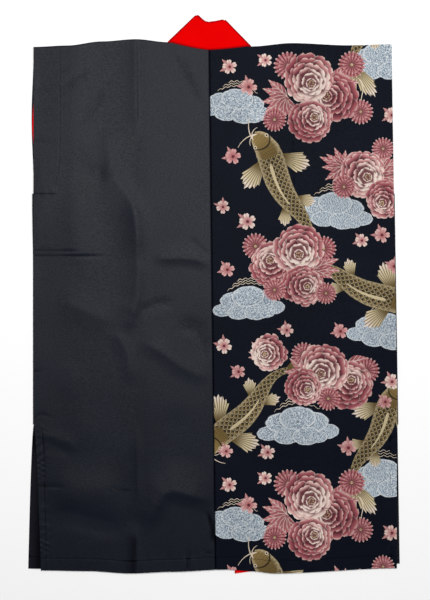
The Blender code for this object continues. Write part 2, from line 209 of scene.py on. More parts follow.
# Thicknesses, and how finely each piece is made
LEFT_CELL = 4.6
PRINT_CELL = 6.5
LINING_CELL = 10
THREAD = 0.0011
BAND_HEIGHT = 118
FRONT_MIDDLE = 0.5  # height of the middle of the fronts' cloth
CLOTH_HALF = 0.4  # half the thickness that shows at the edges
FOLD_TURNS = 6
RIDGE_ROUNDING = 3.5
SEAM_GAP = 0.03  # from the centre of the seam to each half
COLLAR_THICKNESS = 2.0
COLLAR_EDGE_STEPS = (0, 0.1, 0.35, 0.7, 1.0, 2.4)  # in half thicknesses from its edge
BAND_ROWS, MITRE_ROWS, NECK_ROWS, TURN_ROWS = 150, 14, 48, 9
# Painted shade along the collar's folded edges, as a share of darkening
EDGE_PAINTED_SHADE = 0.66  # how much darker the collar's folded edges look
FACING_LOW, FACING_HIGH, FACING_HALF = 2.0, 3.3, 0.42  # heights of its layers, half its thickness
FACING_ROWS, FACING_TURNS = 54, 8
FACING_SETBACK, HIDDEN_SETBACK = 1.2, 3.4  # in from the armhole's edge, and more where hidden
SLIVER = (46, 148)  # reach and middle of where the facing shows beside the back
SLIT_SHADOW = (28, 704)  # reach and middle of the dark place at the top of the left slit
PUCKERS = ((735, 42, 1.0), (890, 30, 0.8))  # in the slit edges, as (middle, reach, strength)
SEAM_ROWS, SEAM_TURNS = 60, 7
EDGE_ROWS = 118
STITCH_LENGTH, STITCH_PITCH, STITCH_WIDTH = 2.6, 3.4, 0.5
STITCH_SUNK, STITCH_FLATNESS, STITCH_SIDES = 0.03, 0.8, 6
STITCH_RINGS = ((-1.0, 0.35), (-0.6, 1.0), (0.6, 1.0), (1.0, 0.35))  # (place, swelling)
LATTICE_START, LATTICE_WIDTH, JITTER = -8, 345, 0.5
FOLD_STEP, HEM_STEP, SEAM_STEP = 4.0, 3.5, 5.0
BAKE_FRONT, BAKE_WIDTH, BAKE_LENGTH = 0.345, 1010, 1000  # the front's place, the map's size
FLOOR_REACH, FLOOR_DROP = 4, 0.0002

# The print repeats every PRINT_REPEAT down the cloth. Each row places one motif, and
# later rows lie over earlier ones.
PRINT_REPEAT = 746
Motif = namedtuple("Motif", "kind across down size turn tone")
PRINT = [Motif(kind, *row) for kind, rows in (
    ("cloud", ((40, 118, 30, 4, 0.2), (300, 38, 34, -6, 0.5), (215, 305, 32, 3, 0.8),
        (62, 470, 30, -4, 0.4), (305, 520, 32, 5, 0.1), (150, 690, 34, -3, 0.6))),
    ("carp", ((122, 262, 225, 62, 0.3), (262, 440, 215, 205, 0.6), (62, 656, 210, -48, 0.4),
        (292, 700, 200, 118, 0.7))),
    ("spray", ((205, 72, 62, 20, 0.4), (132, 96, 58, 150, 0.6))),
    ("rosette", ((246, 38, 24, 10, 0.3), (132, 40, 25, 30, 0.5), (262, 122, 22, 0, 0.6),
        (108, 136, 21, 15, 0.2))),
    ("bloom", ((212, 98, 47, 200, 0.1), (168, 62, 46, 60, 0.9), (172, 138, 40, 320, 0.35))),
    ("spray", ((288, 232, 56, -30, 0.5), (232, 222, 46, 200, 0.3))),
    ("rosette", ((302, 188, 20, 50, 0.7),)),
    ("bloom", ((266, 232, 43, 40, 0.95),)),
    ("rosette", ((232, 256, 21, 20, 0.4),)),
    ("bloom", ((306, 278, 36, 130, 0.2),)),
    ("spray", ((118, 372, 60, 100, 0.2), (176, 402, 54, 340, 0.5))),
    ("rosette", ((74, 362, 23, 5, 0.5), (196, 366, 22, 25, 0.2))),
    ("bloom", ((104, 396, 42, 250, 0.25), (150, 366, 45, 80, 0.85), (158, 432, 38, 10, 0.3))),
    ("rosette", ((108, 440, 20, 40, 0.7), (200, 446, 19, 0, 0.6))),
    ("spray", ((236, 570, 60, 60, 0.4), (170, 590, 54, 190, 0.6))),
    ("rosette", ((272, 584, 23, 12, 0.3), (160, 556, 22, 33, 0.6))),
    ("bloom", ((240, 610, 44, 300, 0.2), (196, 580, 46, 120, 0.95))),
    ("rosette", ((204, 634, 21, 8, 0.4),)),
    ("bloom", ((160, 614, 34, 30, 0.3),)),
    ("spray", ((92, 560, 40, 250, 0.5),)),
    ("bloom", ((98, 552, 33, 160, 0.9),)),
    ("little", ((28, 42, 13, 10, 0.8), (62, 78, 15, 40, 0.3), (92, 30, 12, 0, 0.9),
        (34, 202, 14, 25, 0.2), (16, 292, 12, 55, 0.7), (60, 318, 15, 5, 0.9),
        (300, 342, 14, 35, 0.4), (264, 352, 12, 15, 0.8), (322, 398, 13, 60, 0.2),
        (24, 404, 13, 20, 0.3), (18, 540, 14, 50, 0.9), (44, 586, 12, 0, 0.3),
        (318, 604, 14, 30, 0.9), (306, 640, 12, 12, 0.2), (130, 512, 12, 44, 0.6),
        (226, 514, 13, 22, 0.2), (96, 730, 13, 15, 0.8), (240, 722, 14, 50, 0.3),
        (318, 128, 14, 5, 0.7), (22, 728, 12, 33, 0.4))),
) for row in rows]

MOTIF_REACH, REPEAT_REACH = 160, 200  # how far from its middle a motif may still be seen
STAMENS, LOBE_SIDES, SPINE_STEPS = 9, 40, 41

# Blossom petals, ring by ring from the outside
Ring = namedtuple("Ring", "petals reach breadth paler")
BLOOM_RINGS = (
    Ring(8, 1.0, 0.43, 0.05),
    Ring(7, 0.86, 0.41, 0.20),
    Ring(6, 0.69, 0.36, 0.42),
    Ring(6, 0.53, 0.28, 0.68),
    Ring(5, 0.37, 0.21, 0.90),
    Ring(5, 0.20, 0.12, 1.0),
)
PETAL_EDGE = (
    (0.03, 0.14), (0.22, 0.50), (0.45, 0.86), (0.68, 1.0), (0.86, 0.88), (0.97, 0.56), (1.0, 0.24),
)
ROSETTE_PETAL = ((0.0, 0.81), (0.28, 0.97), (0.5, 1.05), (0.72, 0.97))
LITTLE_PETAL = (
    (0.0, 0.42), (0.16, 0.84), (0.32, 1.0), (0.45, 0.98), (0.5, 0.88), (0.55, 0.98), (0.68, 1.0),
    (0.84, 0.84),
)
LEAF_EDGE = ((0.0, 0.05), (0.18, 0.62), (0.38, 1.0), (0.60, 0.80), (0.80, 0.42))
CARP_BODY = (  # share of the length, half width as a share of the widest
    (0.0, 0.34), (0.03, 0.56), (0.08, 0.76), (0.16, 0.93), (0.28, 1.0), (0.42, 0.95),
    (0.56, 0.80), (0.70, 0.58), (0.83, 0.38), (0.93, 0.27), (1.0, 0.25),
)
Fin = namedtuple("Fin", "at out length width spin rays shade")
CARP_FINS = (
    Fin(1.0, 0.1, 0.34, 0.17, 0.42, 6, 0.8),
    Fin(0.26, 0.8, 0.24, 0.19, 0.95, 6, 0.5),
    Fin(0.62, 0.8, 0.15, 0.12, 0.7, 4, 0.5),
)
FIN_SPREAD, FIN_ROOT = 0.62, 0.16
Lobe = namedtuple("Lobe", "x y reach")
CLOUD_LOBES = (
    Lobe(-1.55, 0.1, 0.62), Lobe(1.5, 0.15, 0.66), Lobe(-0.85, -0.42, 0.85), Lobe(0.75, -0.36, 0.9),
    Lobe(0.0, -0.62, 1.0), Lobe(-0.6, 0.28, 0.72), Lobe(0.45, 0.34, 0.78), Lobe(1.05, 0.42, 0.5),
)

# How each cloth takes the light
Finish = namedtuple("Finish", "roughness sheen specular")
FINISHES = {
    "satin": Finish(0.37, 0.02, 0.075),
    "reverse": Finish(0.6, 0.03, 0.05),
    "ground": Finish(0.46, 0.005, 0.020),
    "print": Finish(0.55, 0.02, 0.03),
    "red": Finish(0.75, 0.02, 0.01),
}
THREAD_ROUGHNESS, THREAD_SPECULAR = 0.7, 0.02
# A randomly worn red, and the red of the painted shade along the collar's edges
WORN_RED, SHADED_RED = (0.25, 0.0, 0.0), (0.12, 0.0, 0.003)
PAPER, PAPER_ROUGHNESS = (0.97, 0.97, 0.97), 0.9


def mix(start, end, share):
    return start + (end - start) * share


def smooth(share):
    share = np.clip(share, 0.0, 1.0)
    return share * share * (3 - 2 * share)


def bell(value, reach, middle=0):
    """1 in the middle, and falling away smoothly on both sides of it."""
    return np.exp(-(((value - middle) / reach) ** 2))


def along(table, across):
    """The down value of an outline table, with level ends at each row."""
    places = np.array([row[0] for row in table], float)
    values = np.array([row[1] for row in table], float)
    across = np.asarray(across, float)
    i = np.clip(np.searchsorted(places, across) - 1, 0, len(places) - 2)
    share = (across - places[i]) / (places[i + 1] - places[i])
    return mix(values[i], values[i + 1], smooth(share))


def beside_line(across, down, points):
    """Distance to a line, +1 on its walker's right, and how far it is from fading ends."""
    spans = []
    so_far = 0.0
    for (x0, y0), (x1, y1) in zip(points, points[1:]):
        dx, dy = x1 - x0, y1 - y0
        length = math.hypot(dx, dy)
        share = np.clip(((across - x0) * dx + (down - y0) * dy) / length**2, 0, 1)
        off_x, off_y = across - x0 - share * dx, down - y0 - share * dy
        hand = np.where(dx * off_y - dy * off_x > 0, 1, -1)
        spans.append((np.hypot(off_x, off_y), hand, so_far + share * length))
        so_far += length
    nearest = np.minimum.reduce([distance for distance, _, _ in spans])
    weights = [np.exp((nearest - distance) / 5) for distance, _, _ in spans]
    travelled = sum(w * place for w, (_, _, place) in zip(weights, spans)) / sum(weights)
    hand = np.ones(nearest.shape)
    for distance, side, _ in spans:
        hand = np.where(distance <= nearest, side, hand)
    reach = min(TAPER_LONGEST, max(TAPER_SHORTEST, TAPER_SHARE * so_far))
    strength = smooth(travelled / reach) * smooth((so_far - travelled) / reach)
    return nearest, hand, strength


def folds_height(across, down):
    total = np.zeros(np.shape(across))
    for fold in FOLDS:
        distance, _, strength = beside_line(across, down, fold.points)
        total += fold.height * strength * bell(distance, fold.half_width)
    for ridge in RIDGES:
        distance, hand, strength = beside_line(across, down, ridge.points)
        reach = np.where(hand > 0, ridge.right_reach, ridge.left_reach)
        away = (np.hypot(distance, RIDGE_ROUNDING) - RIDGE_ROUNDING) / reach
        total += ridge.height * strength * (1 - np.minimum(1, away)) ** 2
    return total


def crease_shadow(across, down):
    """Painted shade, 0 to 1, where the narrow creases and the hollows in SHADES keep the light out.
    """
    total = np.zeros(np.shape(across))
    for fold in FOLDS:
        if fold.height < 0 and fold.half_width < 4:
            distance, _, strength = beside_line(across, down, fold.points)
            total += 0.55 * strength * bell(distance, fold.half_width)
    for shade in SHADES:
        distance, hand, strength = beside_line(across, down, shade.points)
        reach = np.where(hand > 0, shade.right_reach, shade.left_reach)
        away = (np.hypot(distance, 1) - 1) / reach
        total += shade.dark * strength * (1 - np.minimum(1, away)) ** 1.6
    return total


class Cut:
    """The coat's cut in millimetres, and the surface that its cloth lies on."""

    def __init__(self, sizes):
        self.length = sizes.body_length / MM
        self.armhole = sizes.armhole_depth / MM
        self.slit_top = self.length - sizes.slit_length / MM
        self.neck = sizes.neck_half_width / MM
        self.collar = sizes.collar_width / MM
        self.facing = sizes.facing_width / MM
        self.hem_turn = sizes.hem_turn / MM
        self.slit_turn = sizes.slit_turn / MM

    def seam(self, down):
        return mix(SEAM_AT_SHOULDER, SEAM_AT_HEM, down / self.length)

    def edge(self, side, layer, down):
        edge = SIDE_EDGES[side, layer]
        down = np.asarray(down, float)
        opened = np.maximum(0, down - self.slit_top) / (self.length - self.slit_top)
        bulge = np.sin(np.pi * np.clip(down / self.armhole, 0, 1)) ** 2
        out = edge.start + edge.lean * down / self.length
        out = out + edge.slit_kick * opened**SLIT_CURVE + edge.armhole_bulge * bulge
        return side * out

    def inside(self, side, layer, across, down):
        """How far in from the side's edge a place is."""
        return side * (self.edge(side, layer, down) - across)

    def band(self, down):
        return self.neck + BAND_SPREAD * down / self.length

    def support(self, side, across, down):
        on_fronts, on_bands, on_facing = 2.1, 2.9, 4.7
        beyond = np.abs(across - self.seam(down)) - self.neck - BAND_SPREAD
        height = mix(on_fronts, on_bands, 1 - smooth((beyond - BAND_MARGIN) / BAND_REACH))
        if side == LEFT:
            inside = self.inside(LEFT, "back", across, down)
            over = 1 - smooth((inside - self.facing - FACING_MARGIN) / FACING_REACH)
            over = over * (1 - smooth((down - self.armhole - FACING_MARGIN) / FACING_END_REACH))
            height = mix(height, on_facing, over)
        return height

    def opened(self, down):
        return np.clip((down - self.slit_top) / (self.length - self.slit_top), 0, 1)

    def stitch_distances(self, side, across, down):
        """For each stitch line: distance from it, place along it and where it runs."""
        hem = along(BACK_HEM, across) - down - self.hem_turn
        inside = self.inside(side, "back", across, down)
        wide = self.slit_turn * mix(1.4, 0.95, self.opened(down) ** SLIT_CURVE)
        lines = [(hem, across, np.ones(np.shape(across)))]
        lines.append((inside - wide, down, smooth((down - self.slit_top + 4) / 8)))
        if side == LEFT:
            armhole = 1 - smooth((down - self.armhole + 4) / 4)
            lines.append((inside - self.armhole_stitch(down), down, 0.85 * armhole))
            reach = 1 - smooth((inside - self.armhole_stitch(down)) / 2)
            lines.append((down - self.armhole, across, 0.85 * reach))
        return lines

    def armhole_stitch(self, down):
        """Distance of the facing's stitch line from the armhole's edge."""
        return self.facing - 2.5 - 9 * smooth((down - 205) / 60)

    def sewing(self, side, across, down):
        """Turned edges, and the furrows and puckers along their stitch lines."""
        height = np.zeros(np.shape(across))
        seam = np.abs(across - self.seam(down))
        height -= 0.8 * bell(seam, 1.4)
        if side == RIGHT:  # the seam's turnings are pressed to this side
            height += 0.25 * (1 - smooth((seam - 8) / 2))
        for beyond, run, where in self.stitch_distances(side, across, down):
            height += 0.12 * where * (1 - smooth((beyond + 4) / 10))
            height -= 0.12 * where * bell(beyond, 1.1)
            wave = np.sin(run / 2.9 + 2.0 * np.sin(run / 23.0)) + 0.6 * np.sin(run / 5.3 + 1.7)
            swell = 0.5 + 0.5 * np.sin(run / 31.0 + side)
            height += 0.16 * where * wave * swell * bell(beyond, 8.0)
        inside = self.inside(side, "back", across, down)
        gathered = sum(strength * bell(down, reach, middle) for middle, reach, strength in PUCKERS)
        gathered = gathered * smooth((down - self.slit_top) / 12)
        gathered = gathered * (1 - smooth((inside - 13) / 12))
        height += 0.3 * gathered * np.sin(down / 1.9 + inside * 0.3 + 2.2 * np.sin(down / 11))
        return height

    def painted_shade(self, side, across, down):
        """Painted shade, 0 to 1, where seams, stitch lines, creases and hollows keep the light out,
        and where the back's edge shades the front.
        """
        seam = np.abs(across - self.seam(down))
        # Painted shade in the centre seam and along the stitch lines
        dark = 0.95 * bell(seam, 1.3) * (down > -5)
        for beyond, _, where in self.stitch_distances(side, across, down):
            dark = dark + 0.62 * where * bell(beyond, 0.9)
        below = self.front_down(side, across, down)
        inside = self.inside(side, "front", across, below)
        # Painted shadow on the front where the back's edge lies over it, and painted shade along
        # its hem
        strip = smooth((below - self.slit_top + 14) / 12) * (1 - smooth((inside - 22) / 14))
        if side == LEFT:  # darkest at the slit's top and beside the back's edge
            top = 0.4 * bell(below, *SLIT_SHADOW)
            strip = strip * np.minimum(0.95, 0.34 + 0.4 * smooth((inside - 2) / 20) + top)
        else:
            strip = strip * 0.3
        hem = along(FRONT_HEMS[side], across) - below - self.hem_turn
        strip = np.maximum(strip, 0.85 * bell(hem, 0.9))
        return np.clip(np.where(down > -5, dark + crease_shadow(across, down), strip), 0, 1)

    def back_height(self, side, across, down):
        inside = self.inside(side, "back", across, down)
        rise = SLACK * smooth(inside / SLACK_REACH) + folds_height(across, down)
        height = self.support(side, across, down) + (rise + np.hypot(rise, SOFTNESS)) / 2
        calm = smooth(inside / 14)
        fine = 0.26 * np.sin(across / 37 + 1.3) * np.sin(down / 61 + 0.4)
        fine = fine + 0.10 * np.sin(across / 19 + down / 43)
        fine = fine + 0.06 * np.sin(down / 17 - across / 53)
        return height + calm * fine + 0.25 + self.sewing(side, across, down)

    def shoulder(self, side, across):
        """Where the cloth starts to fold over, and the radius of the fold."""
        line = along(SHOULDER_LINE, across)
        first = (self.back_height(side, across, np.zeros(np.shape(across))) - FRONT_MIDDLE) / 2
        top = line + first + CLOTH_HALF
        radius = (self.back_height(side, across, top) - FRONT_MIDDLE) / 2
        return top, radius

    def neckline(self, side, across):
        corner = along(SHOULDER_LINE, self.seam(0) + side * (self.neck + GAP))
        out = np.clip(np.abs(across - self.seam(0)) / (self.neck + GAP), 0, 1)
        return mix(NECKLINE_DOWN, corner, out**NECKLINE_POWER)

    def front_down(self, side, across, length):
        """Down on the front, from the length along the cloth (negative beyond the fold)."""
        top, radius = self.shoulder(side, across)
        return 2 * top - math.pi * radius - length

    def surface(self, side, across, length):
        """Points in metres. Length runs down the back, and is negative down the front."""
        across = np.asarray(across, float)
        length = np.asarray(length, float)
        top, radius = self.shoulder(side, across)
        no_fold = np.abs(across - self.seam(0)) < self.neck + GAP - 0.01
        turn = np.clip((top - length) / radius, 0, math.pi)
        turn = np.where(no_fold & (length > -20), 0, turn)
        beyond = np.maximum(0, top - length - math.pi * radius)
        beyond = np.where(turn > 0, beyond, 0)
        on_back = self.back_height(side, across, np.maximum(length, np.where(no_fold, -9, top)))
        settle = 0.25 * (np.sin(across / 41 + 0.6) * np.sin(beyond / 57 + 1.1) + 1)
        inside = self.inside(side, "front", across, beyond)
        slope = np.minimum(inside / 13, 1) * (1 - smooth((inside - 20) / 60))
        settle = settle * smooth(inside / 40)
        settle = settle + 1.2 * slope * smooth((beyond - self.slit_top + 30) / 60)
        on_front = FRONT_MIDDLE + radius * (1 + np.cos(turn)) + settle * smooth(beyond / 30)
        down = np.where(turn > 0, top - radius * np.sin(turn) + beyond, length)
        height = np.where(turn > 0, on_front, on_back)
        return np.stack([across, SHOULDER_Y - down, height], axis=-1) * MM

    def normals(self, side, across, length):
        step = 0.4
        origin = self.surface(side, across, length)
        to_right = self.surface(side, across + step, length) - origin
        to_hem = self.surface(side, across, length + step) - origin
        normal = np.cross(to_hem, to_right)
        return normal / np.maximum(np.linalg.norm(normal, axis=-1, keepdims=True), 1e-12)


def spread(length, spacing, marks=()):
    """Shares from 0 to 1 about this far apart, with more of them beside the marks."""
    count = max(1, round(length / spacing))
    places = list(np.linspace(0, length, count + 1))
    for mark in marks:
        near = [mark + offset for offset in (-2.6, -1.1, 0, 1.1, 2.6)]
        places = [p for p in places if p in (0, length) or abs(p - mark) > 4.2]
        places += [p for p in near if 0.2 < p < length - 0.2]
    return sorted({place / length for place in places})


Lining = namedtuple("Lining", "points normals faces twins bake dark")
REVERSE = 1  # the number of the reverse's material


def same_faces(points, normals, faces, bake, dark):
    """A lining with the outer side's faces, turned to be seen from within."""
    ends = np.cumsum([len(face) for face in faces])
    turned = np.concatenate([part[::-1] for part in np.split(np.asarray(bake), ends[:-1])])
    return Lining(points, normals, [face[::-1] for face in faces],
                  {i: i for i in range(len(points))}, turned, dark)


class Cloth:
    """Sheets of points with a thickness, gathered into one closed mesh."""

    def __init__(self):
        self.points, self.normals, self.faces = [], [], []
        self.kinds, self.motif, self.run, self.bake, self.dark = [], [], [], [], []
        self.count = 0

    def add(self, points, normals, faces, half, kinds, motif=None, run=None, bake=None, lining=None,
            dark=None):
        """half is half the thickness. kinds gives each face's material number."""
        n = len(points)
        corners = sum(len(face) for face in faces)
        if bake is None:
            bake = np.zeros((corners, 2))
        # dark holds each point's painted shade, 0 to 1
        dark = np.zeros(n) if dark is None else dark
        if lining is None:
            lining = same_faces(points, normals, faces, bake, dark)
        base = self.count
        self.points += [points + normals * half, lining.points - lining.normals * half]
        outer = [tuple(base + i for i in face) for face in faces]
        inner = [tuple(base + n + i for i in face) for face in lining.faces]
        edges = {}
        for f, face in enumerate(faces):
            for a, b in zip(face, face[1:] + face[:1]):
                edges[a, b] = f
        rim = [(edge, f) for edge, f in edges.items() if edge[::-1] not in edges]
        twins = lining.twins
        rims = [(base + b, base + a, base + n + twins[a], base + n + twins[b]) for (a, b), f in rim]
        self.faces += outer + inner + rims
        self.kinds += list(kinds) + [REVERSE] * len(inner) + [kinds[f] for edge, f in rim]
        inner_corners = [i for face in lining.faces for i in face]
        self.normals += [normals[[i for face in faces for i in face]],
                         -lining.normals[inner_corners], np.zeros((4 * len(rims), 3))]
        rest = len(inner_corners) + 4 * len(rims)
        for target, given in ((self.motif, motif), (self.run, run)):
            target += [np.zeros((corners, 3)) if given is None else given, np.zeros((rest, 3))]
        shifted = np.asarray(lining.bake) * (0.28, 0.98) + (0.70, 0.01)
        self.bake += [np.asarray(bake), shifted, np.full((4 * len(rims), 2), 0.995)]
        self.dark += [dark, lining.dark]
        self.count += n + len(lining.points)

    def build(self, name, materials, slot):
        mesh = bpy.data.meshes.new(name)
        points = np.concatenate(self.points)
        mesh.from_pydata(points.tolist(), [], self.faces)
        for material in materials:
            mesh.materials.append(material)
        mesh.polygons.foreach_set("material_index", self.kinds)
        mesh.shade_smooth()
        for label, values in (("motif", self.motif), ("run", self.run)):
            layer = mesh.attributes.new(label, "FLOAT_VECTOR", "CORNER")
            layer.data.foreach_set("vector", np.concatenate(values).ravel())
        # Each point's painted shade, 0 to 1, which the materials read
        layer = mesh.attributes.new("painted_shade", "FLOAT", "POINT")
        layer.data.foreach_set("value", np.concatenate(self.dark))
        layer = mesh.uv_layers.new(name="OFBake")
        layer.data.foreach_set("uv", np.concatenate(self.bake).ravel())
        mesh.update()
        mesh.normals_split_custom_set(np.concatenate(self.normals).tolist())
        item = bpy.data.objects.new(name, mesh)
        bpy.context.collection.objects.link(item)
        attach(item, BODY)
        return item


def renumbered(faces):
    """The points that the faces use, their new numbers, and the faces with those."""
    used = sorted({i for face in faces for i in face})
    order = {old: new for new, old in enumerate(used)}
    return used, order, [tuple(order[i] for i in face) for face in faces]


def grid_faces(rows, columns, present):
    faces = []
    for r in range(rows - 1):
        for c in range(columns - 1):
            corners = ((r, c), (r + 1, c), (r + 1, c + 1), (r, c + 1))
            if all(present[corner] for corner in corners):
                faces.append(tuple(i * columns + j for i, j in corners))
    return faces


def side_seam(cut, side, cloth, kind):
    """The sewn side, from armhole to slit, turned in a soft roll between back and front."""
    downs = np.linspace(cut.armhole, cut.slit_top, SEAM_ROWS)
    edge = cut.edge(side, "back", downs)
    top = cut.back_height(side, edge, downs)
    radius = (top - FRONT_MIDDLE) / 2
    turns = np.linspace(0, math.pi, SEAM_TURNS)
    points, normals = [], []
    for turn in turns:
        reach = edge + side * (radius * math.sin(turn) - 0.02)
        height = FRONT_MIDDLE + radius * (1 + math.cos(turn))
        points.append(np.stack([reach, SHOULDER_Y - downs, height], axis=-1) * MM)
        flat = np.array([side * math.sin(turn), 0, math.cos(turn)])
        normals.append(np.tile(flat, (len(downs), 1)))
    present = np.ones((len(turns), len(downs)), bool)
    faces = grid_faces(len(turns), len(downs), present)
    if side == RIGHT:
        faces = [face[::-1] for face in faces]
    cloth.add(np.concatenate(points), np.concatenate(normals), faces, CLOTH_HALF * MM,
              [kind] * len(faces))


def plain_cloth(cut):
    """The left half as a grid: up the back, over the shoulder and down the front."""
    side = LEFT
    width = abs(float(cut.edge(side, "back", 0)) - cut.seam(0))
    neck = (cut.neck + GAP) / width
    inner = [neck * s for s in spread(neck * width, LEFT_CELL, (1.4,))]
    outer = [mix(neck, 1, s) for s in spread((1 - neck) * width, LEFT_CELL, (
        (1 - neck) * width - cut.facing + 2.5, (1 - neck) * width - cut.slit_turn,
        (1 - neck) * width - 1.2))]
    shares = np.array(inner + outer[1:])
    first_outer = len(inner) - 1

    slit_part = spread(cut.length - cut.slit_top, LEFT_CELL, (1.2, cut.hem_turn))
    seam_part = spread(cut.slit_top - cut.armhole, LEFT_CELL)
    armhole_part = spread(cut.armhole, LEFT_CELL)
    levels = [(0, s) for s in slit_part] + [(1, s) for s in seam_part[1:]]
    levels += [(2, s) for s in armhole_part[1:]]

    def back_across(share, down):
        start = cut.seam(down) + side * SEAM_GAP
        return mix(start, cut.edge(side, "back", down), share)

    def front_across(share, down):
        start = cut.seam(down) + side * (cut.band(down) + GAP)
        return mix(start, cut.edge(side, "front", down), (share - neck) / (1 - neck))

    at_top = back_across(shares, 0.0)
    fold_top, radius = cut.shoulder(side, at_top)
    hem = along(BACK_HEM, back_across(shares, cut.length))
    front_hem = along(FRONT_HEMS[side], front_across(shares, cut.length))
    neckline = cut.neckline(side, at_top)
    top = np.where(np.arange(len(shares)) < first_outer, neckline, fold_top)

    def level_down(level, hem_line):
        part, share = level
        stops = (hem_line, cut.slit_top, cut.armhole, top)
        return mix(stops[part], stops[part + 1], share) * np.ones(len(shares))

    across, length, present = [], [], []
    whole = np.ones(len(shares), bool)
    outside = np.arange(len(shares)) >= first_outer
    for level in levels:
        down = level_down(level, hem)
        across.append(back_across(shares, down))
        length.append(down)
        present.append(whole)
    for step in range(1, FOLD_TURNS + 1):
        across.append(at_top)
        length.append(fold_top - radius * math.pi * step / FOLD_TURNS)
        present.append(outside)
    for level in levels[-2::-1]:
        down = level_down(level, front_hem)
        reach = front_across(shares, down)
        across.append(reach)
        length.append(cut.front_down(side, reach, down))
        present.append(outside)
    across, length = np.array(across), np.array(length)
    present = np.array(present)
    points = cut.surface(side, across, length)
    normals = cut.normals(side, across, length)
    rows, columns = across.shape
    used, _, faces = renumbered(grid_faces(rows, columns, present))
    flat = np.stack([across.ravel(), length.ravel()], axis=-1)[used]
    loops = np.array(faces)
    corners = flat[loops.ravel()]
    starts = np.repeat(flat[loops, 1].mean(axis=1), 4)
    cloth = Cloth()
    cloth.add(points.reshape(-1, 3)[used], normals.reshape(-1, 3)[used], faces,
              CLOTH_HALF * MM, [0] * len(faces), bake=bake_places(corners, starts),
              dark=cut.painted_shade(side, flat[:, 0], flat[:, 1]))
    side_seam(cut, side, cloth, 0)
    return cloth


def bake_places(corners, starts):
    """Flat places on the bake map: the back in one block and the front beside it."""
    on_front = starts < -4
    u = np.where(on_front, BAKE_FRONT, 0.0) + 0.005 + (np.abs(corners[:, 0]) + 10) / BAKE_WIDTH
    v = np.where(on_front, -corners[:, 1], corners[:, 1])
    return np.stack([u, 0.012 + np.clip(v + 12, 0, 975) / BAKE_LENGTH], axis=-1)


def turned_left(outline):
    """The outline in the direction in which its inside is on the left."""
    x, y = np.asarray(outline, float).T
    area = np.sum(x * np.roll(y, -1) - np.roll(x, -1) * y)
    return outline if area > 0 else outline[::-1]


def petalled(petals, parts, start=0.0):
    """An outline of equal petals, each given by rows of (share of the petal, reach)."""
    turns = [(start + 2 * math.pi * (i + part) / petals, reach)
             for i in range(petals) for part, reach in parts]
    return [(reach * math.cos(angle), reach * math.sin(angle)) for angle, reach in turns]


